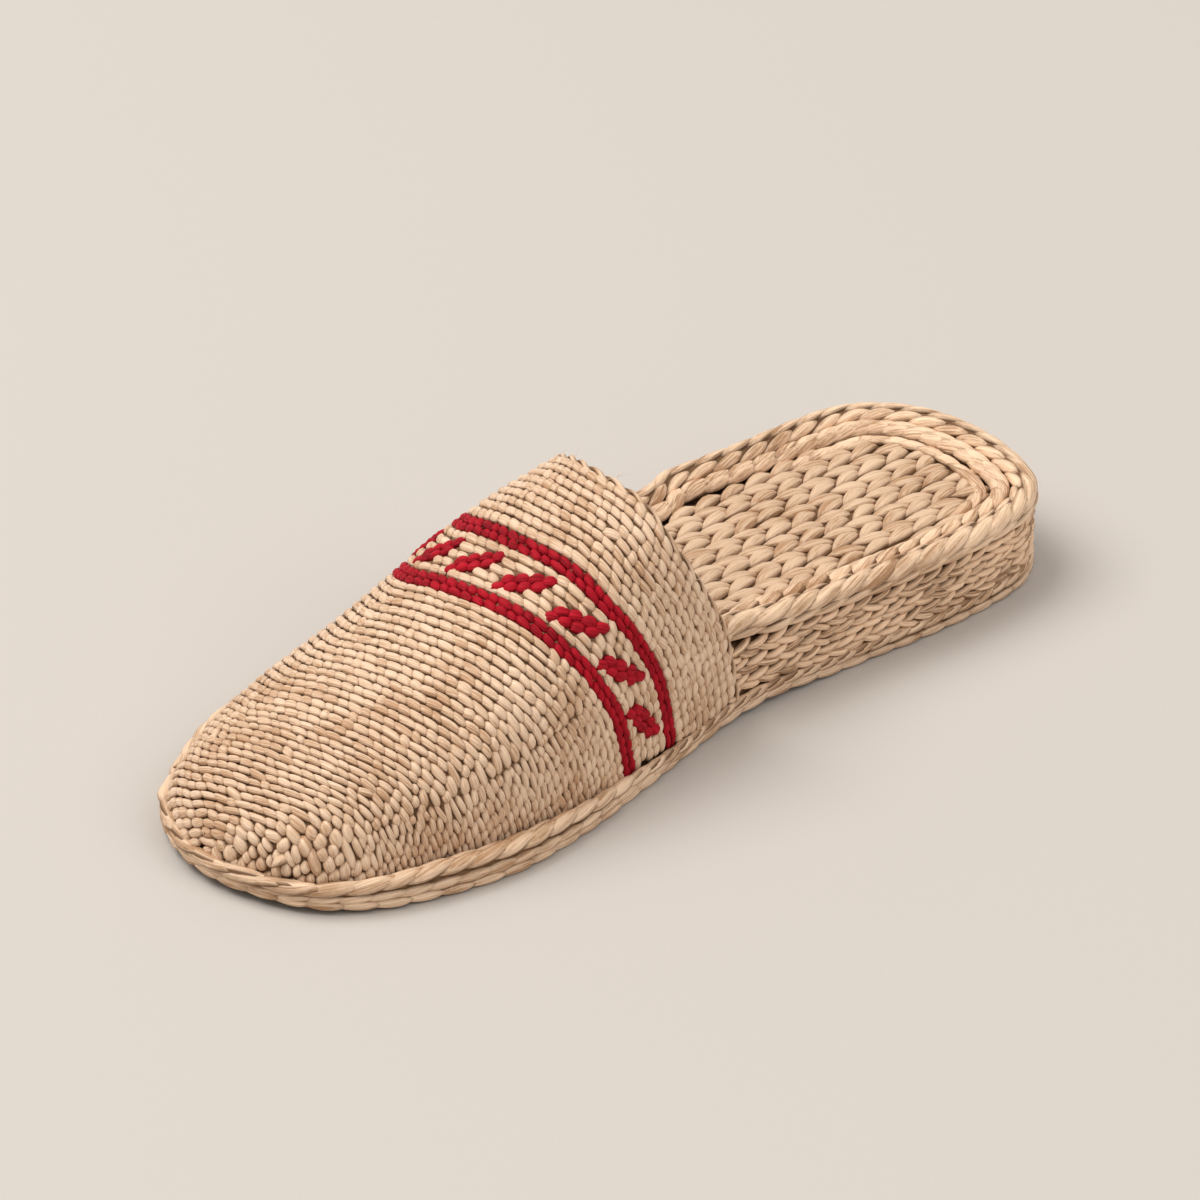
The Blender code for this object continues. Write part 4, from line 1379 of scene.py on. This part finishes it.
class OBJECT_OT_slipper_upper(bpy.types.Operator):
    """Twine the upper: hollow wall, rows of stitches inside and out, red lines and dashes, collar edge"""
    bl_idname = "object.slipper_upper"
    bl_label = "Twine the Upper"

    def execute(self, context):
        settings = context.scene.slipper_upper
        rng = np.random.default_rng(11)
        straw = tuple(settings.straw_colour)
        red = tuple(settings.dyed_colour)
        fibre = {"across": 2400.0, "along": 170.0}
        # painted shade: the last tint of each straw finish is its shade colour, and the wall's material is
        # straw painted dark as the shade between the stitches
        natural = tinted_straw("upper_straw", straw, (1.16, -0.12), (1.0,), (0.7, 0.34), (0.24, 0.66),
                               spread=0.23, **fibre)
        dyed = tinted_straw("dyed_straw", red, (1.25,), (1.0,), (0.55,), (0.2,), coat=0.0, gloss=0.1, **fibre)
        shade_filling = shade_filling_material("upper_painted_shade", tinted(straw, 0.28, 0.55), tinted(straw, 0.12, 0.65))
        seated(upper_shell("upper_wall", 1.15 * MM, WALL, shade_filling), "upper_straw", "upper")
        laid = stitch_points(STITCH_DEPTH, settings, rng)
        inside = stitch_points(LINING_DEPTH, settings, rng, lining=True)
        dashes = dash_stitches(settings, rng)
        for name, kind, rows, finish, turn, spread, seed in (
                ("upper_stitches", "long", laid["long"], natural, 3.0, 0.05, 21),
                ("upper_round_stitches", "plump", laid["plump"], natural, 8.0, 0.08, 24),
                ("upper_red_stitches", "red", laid["red"], dyed, 4.0, 0.04, 22),
                ("upper_dash_stitches", "dash", dashes, dyed, 4.0, 0.05, 25)):
            piece = lay_straws(name, rows, stitch_shape(kind), finish, turn, 3.0, spread, seed)
            seated(piece, "upper_straw")
        piece = lay_straws("upper_inside_stitches", inside["long"], stitch_shape("long", 4, 6), natural,
                           4.0, 3.0, 0.07, 23)
        seated(piece, "upper_straw")
        self.edge_collar(natural)
        self.loose_fibres(natural, rng)
        return {"FINISHED"}

    def edge_collar(self, material):
        """A thin cord of two strands along the collar's edge."""
        form = UpperForm(1.05 * MM)
        edge_row = -0.12
        fine = np.linspace(0.0, pi, 1500)
        arc = run_lengths(upper_point(form, np.full_like(fine, edge_row), fine))
        angles = np.interp(np.linspace(0, arc[-1], 320), arc, fine)
        places = upper_point(form, np.full_like(angles, edge_row), angles)
        _, _, forward, normals, _ = row_lines(form, 0.0, angles)
        guide = new_object("collar_edge_guide", places,
                           edges=[(index, index + 1) for index in range(len(places) - 1)])
        give_attribute(guide, "out", "FLOAT_VECTOR", normals)
        give_attribute(guide, "over", "FLOAT_VECTOR", -forward)
        for label in ("wide", "tall"):
            give_attribute(guide, label, "FLOAT", np.full(len(angles), 1.25 * MM))
        cord = made_by(twisted_cord_tree(), "collar_edge", guide, {
            "Strands": 2, "Turns": float(arc[-1] / (15 * MM)), "Strand Share": 0.5, "Sides": 8,
            "Size Spread": 0.08, "Seed": 31, "Material": material})
        seated(cord, "upper_straw")

    def loose_fibres(self, material, rng):
        """Fine broken fibres that stand off the collar's edge and the upper's foot."""
        form = UpperForm(0.2 * MM)
        fibres = []
        for angle in (1.2, 1.45, 1.52, 1.57, 1.6, 1.66, 1.9, 2.3, 0.7, 0.35):
            root = Vector(upper_point(form, np.array(0.2), np.array(angle + rng.uniform(-0.03, 0.03))))
            way = Vector((rng.uniform(-1.0, -0.2), rng.uniform(-0.9, 0.9), rng.uniform(0.0, 0.24)))
            fibres.append((root, way, rng.uniform(4.0, 8.0) * MM))
        for turn in (0.30 * pi, 0.52 * pi, 0.61 * pi, 0.74 * pi, 0.93 * pi, 1.3 * pi):
            normal = EDGE.normal(turn)
            root = Vector(path_point(np.array(turn), fixed(0.6 * MM), fixed(3.2 * MM)))
            way = Vector((normal[0] + rng.uniform(-0.8, 0.8), normal[1], 0.1))
            fibres.append((root, way, rng.uniform(2.5, 4.0) * MM))
        strands = []
        for root, way, length in fibres:
            way.normalize()
            side = way.cross(Vector((0, 0, 1))).normalized()
            bend = side * rng.uniform(-0.25, 0.25) - Vector((0, 0, 0.16))
            face = side.cross(way).normalized()
            line = []
            for t in np.linspace(0.0, 1.0, 7):
                spot = root + way * (length * t) + bend * (length * t * t)
                line.append((spot, 0.09 * MM * (1.05 - t), 0.07 * MM * (1.05 - t), face, t * length, 0.0))
            strands.append((line, rng.uniform(0.6, 1.0)))
        fibres = weave_strands("loose_fibres", strands, material, sides=4)
        # the loose fibres take no painted shade
        for entry in fibres.data.attributes["tuck"].data:
            entry.value = 0.0
        seated(fibres, "upper_straw")


# ---------------------------------------------------------------- footbed and rim

FOOTBED_COLUMNS = 7         # chevron columns on each side of the middle one
FOOTBED_CHEVRONS = 30       # chevrons of a column, before those outside are left out
FOOTBED_ENDS = (5 * MM, 8 * MM)  # bare ends at the heel and at the toe
FOOTBED_TUCK = (0.4 * MM, 2.2 * MM, 3.2 * MM)  # how far a leaf may pass the edge: heel, medial, lateral
FOOTBED_TUCK_START = 105 * MM


def top_depth(depth):
    """A height function: a depth under the footbed's top."""
    return lambda along, medial: core_top(along) + INSOLE_THICK - depth


def footbed_leaves(settings, rng, side):
    """The leaves of one side of each chevron column along the footbed, tips to the toe."""
    leaves = []
    spacing = settings.column_spacing
    step = settings.leaf_step
    size = (settings.leaf_length, spacing * 0.61, 2.6 * MM)
    for column in range(-FOOTBED_COLUMNS, FOOTBED_COLUMNS + 1):
        for number in range(1, FOOTBED_CHEVRONS + 1):
            along = number * step + rng.uniform(-0.5, 0.5) * MM + (0.5 * step if column % 2 else 0.0)
            along += 0.16 * step * side
            y = column * spacing + side * spacing * 0.25 + rng.uniform(-0.25, 0.25) * MM
            if not FOOTBED_ENDS[0] < along < LENGTH - FOOTBED_ENDS[1]:
                continue
            room = EDGE.depth_of(along, y) - float(insole_inset(along, y > 0))
            if room < -FOOTBED_TUCK[0 if along < FOOTBED_TUCK_START else 1 if y > 0 else 2]:
                continue
            top = clearance(along) + core_top(along) + INSOLE_THICK - 1.15 * MM
            slope = (core_top(along + MM) - core_top(along - MM)) / (2 * MM)
            out = Vector((-slope, 0.0, 1.0)).normalized()
            lie = Vector((1.0, -side * 0.2, slope + 0.10)).normalized()
            leaves.append((place(along, y, float(top)), lie, out, size, rng.uniform()))
    return leaves


class OBJECT_OT_slipper_footbed(bpy.types.Operator):
    """Plait the footbed: chevron columns on their mat"""
    bl_idname = "object.slipper_footbed"
    bl_label = "Plait the Footbed"

    def execute(self, context):
        settings = context.scene.slipper_sole
        rng = np.random.default_rng(5)
        straw = tuple(settings.straw_colour)
        # painted shade: the last tint is the shade colour, and the mat's material is straw painted dark as
        # the shade between the leaves
        finish = tinted_straw("footbed_straw", straw, (1.06, -0.04), (0.93,), (0.6, 0.4), (0.24, 0.66),
                              across=1900.0, along=110.0)
        shade_filling = shade_filling_material("footbed_painted_shade", tinted(straw, 0.3, 0.55), tinted(straw, 0.13, 0.65))
        mat = filled_rings("footbed_mat", (
            (insole_inset, lambda along, medial: core_top(along) + GAP),
            (insole_inset, top_depth(1.7 * MM)),
        ), shade_filling)
        seated(mat, "footbed_straw", "insole")
        for side, name in ((1, "footbed_medial_leaves"), (-1, "footbed_lateral_leaves")):
            shape = straw_shape("leaf", (13.4 * MM, 5.0 * MM, 2.7 * MM), 9, ends=(1.7, 0.95),
                                swell=(2.4, 0.55), curl=0.10 * side, dip=(0.95, 0.16))
            leaves = footbed_leaves(settings, rng, side)
            seated(lay_straws(name, leaves, shape, finish, 3.5, 2.5, 0.07, 41 + side), "footbed_straw")
        return {"FINISHED"}


class OBJECT_OT_slipper_rim(bpy.types.Operator):
    """Twist the rim: thick outer cord, inner cord and the short third cord at the back of the heel"""
    bl_idname = "object.slipper_rim"
    bl_label = "Twist the Rim"

    def execute(self, context):
        settings = context.scene.slipper_sole
        straw = tuple(settings.straw_colour)
        # painted shade: the last tint is the shade colour, and the cores' material is straw painted dark as
        # the shade between the strands
        finish = tinted_straw("rim_straw", straw, (1.34, -0.06), (1.09,), (0.6, 0.4), (0.16, 0.66),
                              across=1800.0, along=60.0)
        shade_filling = shade_filling_material("rim_painted_shade", tinted(straw, 0.32, 0.55), tinted(straw, 0.14, 0.65))
        rng = np.random.default_rng(6)
        lateral = -turn_at_place(RIM_END_LATERAL)
        medial = turn_at_place(RIM_END_MEDIAL)
        path = even_turns(lateral, medial, 2.0 * MM)

        def outer_inset(along, medial):
            return rim_inset(along, medial) + RIM_WIDTH / 2

        def outer_height(along, medial):
            return core_top(along) + GAP + RIM_HEIGHT / 2

        def inner_inset(along, medial):
            return rim_inset(along, medial) + RIM_WIDTH + INNER_WIDTH / 2 - 0.7 * MM

        def inner_height(along, medial):
            return core_top(along) + GAP + INNER_HEIGHT / 2 + 0.3 * MM

        outer = Cord(outer_inset, outer_height, fixed(RIM_WIDTH / 2 + 0.1 * MM, RIM_HEIGHT / 2 + 0.1 * MM))
        inner = Cord(inner_inset, inner_height,
                     fixed(INNER_WIDTH / 2 + 0.3 * MM, INNER_HEIGHT / 2 + 0.1 * MM))
        core = swept_core("rim_core", path, outer._replace(half=fixed(2.7 * MM, 2.8 * MM)), False, shade_filling)
        seated(core, "rim_straw", "rim_plait")
        core = swept_core("inner_core", path, inner._replace(half=fixed(2.3 * MM, 2.3 * MM)), False, shade_filling)
        seated(core, "footbed_straw", "inner_plait")

        def row(cord, step, facing, sweep, size, **lap):
            """Strands of one size along the whole of a cord, their sizes in millimetres."""
            turns = stations(lateral + 0.02, medial - 0.02, fixed(step), 0.5)
            return wrapped_row(turns, cord, facing, sweep, fixed(*(part * MM for part in size)), rng, **lap)

        step = settings.rim_step
        main = row(outer, step, 44, 112, (19.0, 4.5, 2.7))
        inside = row(outer, step, 144, 66, (12.5, 3.4, 2.2))
        under = row(outer, step, -34, 60, (14.0, 3.6, 2.2))
        seated(weave_strands("rim_strands", main + inside + under, finish), "rim_straw")
        over = row(inner, 7.6 * MM, 80, 122, (13.0, 3.9, 3.0), lap=0.5 * MM)
        beside = row(inner, 7.5 * MM, 146, 60, (11.5, 4.0, 2.6))
        seated(weave_strands("inner_strands", over + beside, finish), "footbed_straw")

        third = Cord(lambda along, medial: rim_inset(along, medial) + RIM_WIDTH + INNER_WIDTH + 2.0 * MM,
                     top_depth(1.9 * MM), fixed(2.7 * MM, 2.5 * MM))
        back = stations(-0.27 * pi, 0.22 * pi, fixed(7.6 * MM), 0.5)
        strands = wrapped_row(back, third, 86, 104, fixed(12.5 * MM, 3.6 * MM, 2.4 * MM), rng, 0.7 * MM)
        seated(weave_strands("heel_strands", strands, finish), "footbed_straw")
        return {"FINISHED"}


# ---------------------------------------------------------------- heel, border and underside

SIDE_ROWS = 6               # twined rows on the bare side of the heel
SIDE_SLANTS = (-7, 19)      # degrees by which the straws of every other row lean
SIDE_REACH = (98 * MM, 128 * MM)  # how far the rows run on the lateral and the medial side
SIDE_TOP = 0.8 * MM         # how far they rise over the core
SIDE_WOBBLE = 0.25 * MM
UNDER_STEP = 11.6           # underside: mm between two leaves of a column, and between two columns
UNDER_COLUMN = 8.6
UNDER_COLUMNS = 6           # columns on each side of the middle one
UNDER_LEAVES = 22
UNDER_REACH = (7.4 * MM, 2.2 * MM)  # from a leaf's middle to its tips, along and across
UNDER_EDGE = 2.6 * MM


def side_inset(along, medial):
    """The side's straws stand just inside the outline, and further in under the upper."""
    return 1.55 * MM + 2.0 * MM * covered(along, medial)


def core_inset(along, medial):
    """The heel core stands back from the outline, and further back under the upper."""
    under = upper_inset(along) + WALL + GAP + np.where(medial, 0.4 * MM, 1.0 * MM)
    bare = 2.4 * MM
    return bare + (np.maximum(under, bare) - bare) * covered(along, medial)


class OBJECT_OT_slipper_sole(bpy.types.Operator):
    """Build the sole: heel core with twined side, border cords and plaited underside"""
    bl_idname = "object.slipper_sole"
    bl_label = "Build the Sole"

    def execute(self, context):
        settings = context.scene.slipper_sole
        rng = np.random.default_rng(8)
        straw = tuple(settings.straw_colour)
        # painted shade: the last tint of each finish is its shade colour, and the material of the cores and
        # the mat is straw painted dark as the shade between the straws
        side_finish = tinted_straw("side_straw", straw, (1.33, -0.04), (1.18, 0.02), (0.46, 0.4),
                                   (0.09, 0.66), across=2000.0, along=100.0, spread=0.6)
        border_finish = tinted_straw("border_straw", straw, (1.24, -0.08), (1.0,), (0.62, 0.4),
                                     (0.22, 0.66), across=1800.0, along=50.0)
        shade_filling = shade_filling_material("sole_painted_shade", tinted(straw, 0.3, 0.55), tinted(straw, 0.13, 0.65))
        core = filled_rings("heel_core", (
            (core_inset, fixed(OUTSOLE_THICK + GAP)),
            (core_inset, lambda along, medial: core_top(along)),
        ), shade_filling)
        seated(core, "side_straw", "midsole")
        shape = straw_shape("leaf", (9.4 * MM, 3.0 * MM, 3.0 * MM), 7, ends=(2.6, 0.6), swell=(2.4, 0.5),
                            dip=(0.6, 0.3))
        piece = lay_straws("heel_side_straws", self.side_straws(rng), shape, side_finish, 3.0, 3.0, 0.08, 61)
        seated(piece, "side_straw")
        self.plait_border(shade_filling, border_finish, rng)
        self.lay_underside(shade_filling, border_finish, rng)
        return {"FINISHED"}

    def side_straws(self, rng):
        """Twined rows on the bare side of the heel and waist, every other one slanting the other way."""
        straws = []
        for row in range(SIDE_ROWS):
            def height(along, medial):
                low = OUTSOLE_THICK + WELT_HEIGHT(along) + 0.2 * MM
                return low + (core_top(along) + SIDE_TOP - low) * (row + 0.5) / SIDE_ROWS

            turns = stations(-turn_at_place(SIDE_REACH[0]), turn_at_place(SIDE_REACH[1]), fixed(5.6 * MM),
                             0.5 * (row % 2))
            for turn in turns:
                turn = np.array(turn)
                along = float(EDGE.point(turn)[0])
                ahead, out, over = path_directions(turn, side_inset, height)
                tilt = radians(4)
                face = out * cos(tilt) + over * sin(tilt)
                rise = over * cos(tilt) - out * sin(tilt)
                lean = radians(SIDE_SLANTS[row % 2]) + radians(rng.normal(0.0, 6.0))
                lie = ahead * cos(lean) + rise * sin(lean)
                reach = rng.uniform(-0.5, 0.5) * SIDE_WOBBLE
                spot = Vector(path_point(turn, side_inset, height)) + face * reach
                spot += rise * rng.uniform(-0.5, 0.5) * SIDE_WOBBLE
                bare = core_top(along) + SIDE_TOP - OUTSOLE_THICK - WELT_HEIGHT(along)
                size = (9.4 * MM, float(bare / SIDE_ROWS) * 0.86, 3.2 * MM)
                straws.append((spot, lie, face, size, rng.uniform()))
        return straws

    def plait_border(self, shade_filling, finish, rng):
        """The border: a row of long leaves over one or two rows of shorter ones, on a filling."""

        def zone(along):
            return OUTSOLE_THICK + GAP + WELT_HEIGHT(along)

        def thick(along):
            return np.maximum(WELT_WIDTH(along), 2.2 * MM)

        def leaf_step(along):
            at_ball, at_toe = ease(along, 130 * MM, 190 * MM), ease(along, 235 * MM, 260 * MM)
            return (11.8 + 4.2 * at_ball + 9 * at_toe) * MM

        def top_size(along):
            wider = float(ease(along, 232 * MM, 256 * MM)) * 0.9 * MM
            return (float(leaf_step(along)) * 1.05, 0.22 * float(zone(along)) + 1.7 * MM + wider, 2.4 * MM)

        core = Cord(lambda along, medial: thick(along) / 2 + 0.5 * MM,
                    lambda along, medial: zone(along) / 2 + 0.2 * MM,
                    lambda along: (thick(along) / 2 - 0.8 * MM, zone(along) / 2 - 1.5 * MM))
        turns = even_turns(0.0, 2 * pi, 2.5 * MM)[:-1]
        seated(swept_core("border_core", turns, core, True, shade_filling), "sole_straw", "welt_plait")

        upper = Cord(lambda along, medial: thick(along) / 2 + 0.15 * MM,
                     lambda along, medial: zone(along) * 0.72,
                     lambda along: (float(thick(along)) / 2 + 0.25 * MM,
                                    0.28 * float(zone(along)) + 0.1 * MM))
        spots = stations(0.0, 2 * pi, lambda along: 0.5 * leaf_step(along))
        top = wrapped_row(spots, upper, 58, 112, top_size, rng)
        inner = wrapped_row(spots, upper, 120, 50,
                            lambda along: (float(leaf_step(along)) * 0.8, 2.8 * MM, 2.0 * MM), rng)
        seated(weave_strands("border_strands", top + inner, finish), "sole_straw")

        lower = Cord(fixed(1.45 * MM), fixed(1.5 * MM), fixed(1.35 * MM, 1.35 * MM))
        spots = stations(0.0, 2 * pi, fixed(8.6 * MM))
        low = wrapped_row(spots, lower, -6, 70, fixed(13.0 * MM, 2.9 * MM, 2.0 * MM), rng)
        between = Cord(fixed(1.9 * MM), lambda along, medial: 0.42 * zone(along),
                       lambda along: (1.9 * MM, 0.2 * float(zone(along))))
        spots = stations(0.36 * pi, 1.64 * pi, fixed(7.8 * MM), 0.5)
        middle = wrapped_row(spots, between, 6, 70, lambda along: (
            13.0 * MM, 0.8 * MM + 0.22 * float(zone(along)), 2.2 * MM), rng)
        seated(weave_strands("border_low_strands", low + middle, finish, sides=8), "sole_straw")

    def lay_underside(self, shade_filling, finish, rng):
        """A thin mat with columns of leaves under it, in chevrons."""
        edge = fixed(1.6 * MM)
        base = filled_rings("sole_mat", ((edge, fixed(0.9 * MM)), (edge, fixed(OUTSOLE_THICK))), shade_filling)
        seated(base, "sole_straw", "outsole")
        leaves = []
        size = (15.5 * MM, 5.4 * MM, 1.7 * MM)
        for column in range(-UNDER_COLUMNS, UNDER_COLUMNS + 1):
            for number in range(1, UNDER_LEAVES + 1):
                for side in (-1, 1):
                    along = number * UNDER_STEP * MM + rng.uniform(-0.5, 0.5) * MM
                    y = column * UNDER_COLUMN * MM + side * UNDER_REACH[1]
                    tips = [EDGE.depth_of(along + end * UNDER_REACH[0], y - side * end * UNDER_REACH[1])
                            for end in (-1, 0, 1)]
                    if min(tips) < UNDER_EDGE:
                        continue
                    under = float(clearance(along)) + 1.0 * MM
                    lie = Vector((1.0, -side * 0.3, 0.0)).normalized()
                    leaves.append((place(along, y, under), lie, Vector((0, 0, -1)), size, rng.uniform()))
        shape = straw_shape("leaf", (15 * MM, 5 * MM, 1.7 * MM), 6, ends=(2.2, 0.7), dip=(0.1, 0.1))
        piece = lay_straws("underside_leaves", leaves, shape, finish, 3.0, 0.0, 0.05, 74)
        seated(piece, "sole_straw")


# ---------------------------------------------------------------- stage

CAMERA_PLACE = (1.05758, 1.20947, 0.99857)
CAMERA_AIM = Vector((0.0, 0.0, 0.026))
CAMERA_LENS = 222.3
# name, power, size, place as (right, forward, up) and colour of each light
LIGHTS = (
    ("key", 101.0, 2.5, (-1.7, 0.4, 3.1), (1.0, 0.975, 0.94)),
    ("fill", 26.0, 2.0, (1.8, -1.4, 1.5), (1.0, 0.98, 0.96)),
)


class OBJECT_OT_slipper_stage(bpy.types.Operator):
    """Set up the floor, the soft studio light and the camera"""
    bl_idname = "object.slipper_stage"
    bl_label = "Set the Stage"

    def execute(self, context):
        settings = context.scene.slipper_stage
        scene = context.scene
        floor = new_object("floor", [(-4, -4, 0), (4, -4, 0), (4, 4, 0), (-4, 4, 0)], faces=[(0, 1, 2, 3)])
        material, tree, shader = new_material("studio_floor")
        where = field(tree, "ShaderNodeTexCoord", output="Object")
        noise = field(tree, "ShaderNodeTexNoise", {"Vector": where, "Scale": 900.0, "Detail": 2.0})
        base = tuple(settings.floor_colour)
        colour = mixed(tree, noise, (*tinted(base, 0.985), 1.0), (*tinted(base, 1.015), 1.0))
        fill(tree, shader, {"Base Color": colour, "Roughness": 0.85})
        floor.data.materials.append(material)

        world = bpy.data.worlds.new("studio")
        world.use_nodes = True
        sky = world.node_tree.nodes["Background"]
        fill(world.node_tree, sky, {"Color": (1.0, 0.975, 0.94, 1.0), "Strength": 0.5})
        scene.world = world
        scene.view_settings.view_transform = "Standard"

        forward = Vector((-cos(settings.elevation) * cos(settings.heading),
                          -cos(settings.elevation) * sin(settings.heading), -sin(settings.elevation)))
        right = forward.cross(Vector((0, 0, 1))).normalized()
        for name, power, size, (aside, ahead, above), colour in LIGHTS:
            position = right * aside + forward * ahead + Vector((0, 0, above))
            self.add_light(name, power, size, position, colour)
        self.set_camera(scene, forward, right)
        return {"FINISHED"}

    def set_camera(self, scene, forward, right):
        """The camera looks forward, turned a little so that its aim is in the middle of the frame."""
        camera = bpy.data.cameras.new("camera")
        camera.lens = CAMERA_LENS
        camera.sensor_width = 36.0
        camera.clip_start = 0.1
        camera.clip_end = 20.0
        holder = bpy.data.objects.new("camera", camera)
        scene.collection.objects.link(holder)
        holder.location = CAMERA_PLACE
        turned = Matrix((right, right.cross(forward), -forward)).transposed().to_quaternion()
        towards = (CAMERA_AIM - holder.location).normalized()
        holder.rotation_mode = "QUATERNION"
        holder.rotation_quaternion = forward.rotation_difference(towards) @ turned
        scene.camera = holder

    def add_light(self, name, power, size, position, colour):
        """A square soft light that faces the slipper."""
        data = bpy.data.lights.new(name, "AREA")
        data.energy = power
        data.size = size
        data.color = colour
        obj = bpy.data.objects.new(name, data)
        bpy.context.scene.collection.objects.link(obj)
        obj.location = position
        obj.rotation_mode = "QUATERNION"
        obj.rotation_quaternion = (-Vector(position)).to_track_quat("-Z", "Y")


class VIEW3D_PT_slipper(bpy.types.Panel):
    """Lists the slipper's operators and settings"""
    bl_label = "Straw Slipper"
    bl_idname = "VIEW3D_PT_slipper"
    bl_space_type = "VIEW_3D"
    bl_region_type = "UI"
    bl_category = "Slipper"

    def draw(self, context):
        for settings, operators in (
                (context.scene.slipper_upper, ("slipper_upper",)),
                (context.scene.slipper_sole, ("slipper_footbed", "slipper_rim", "slipper_sole")),
                (context.scene.slipper_stage, ("slipper_stage",))):
            box = self.layout.box()
            for name in settings.__annotations__:
                box.prop(settings, name)
            for name in operators:
                box.operator("object." + name)


CLASSES = (
    SlipperUpperSettings,
    SlipperSoleSettings,
    SlipperStageSettings,
    OBJECT_OT_slipper_upper,
    OBJECT_OT_slipper_footbed,
    OBJECT_OT_slipper_rim,
    OBJECT_OT_slipper_sole,
    OBJECT_OT_slipper_stage,
    VIEW3D_PT_slipper,
)


def register():
    for cls in CLASSES:
        bpy.utils.register_class(cls)
    bpy.types.Scene.slipper_upper = bpy.props.PointerProperty(type=SlipperUpperSettings)
    bpy.types.Scene.slipper_sole = bpy.props.PointerProperty(type=SlipperSoleSettings)
    bpy.types.Scene.slipper_stage = bpy.props.PointerProperty(type=SlipperStageSettings)


def unregister():
    del bpy.types.Scene.slipper_upper
    del bpy.types.Scene.slipper_sole
    del bpy.types.Scene.slipper_stage
    for cls in reversed(CLASSES):
        bpy.utils.unregister_class(cls)


def main():
    register()
    bpy.ops.object.slipper_stage()
    bpy.ops.object.slipper_upper()
    bpy.ops.object.slipper_footbed()
    bpy.ops.object.slipper_rim()
    bpy.ops.object.slipper_sole()
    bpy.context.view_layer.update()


if __name__ == "__main__":
    main()
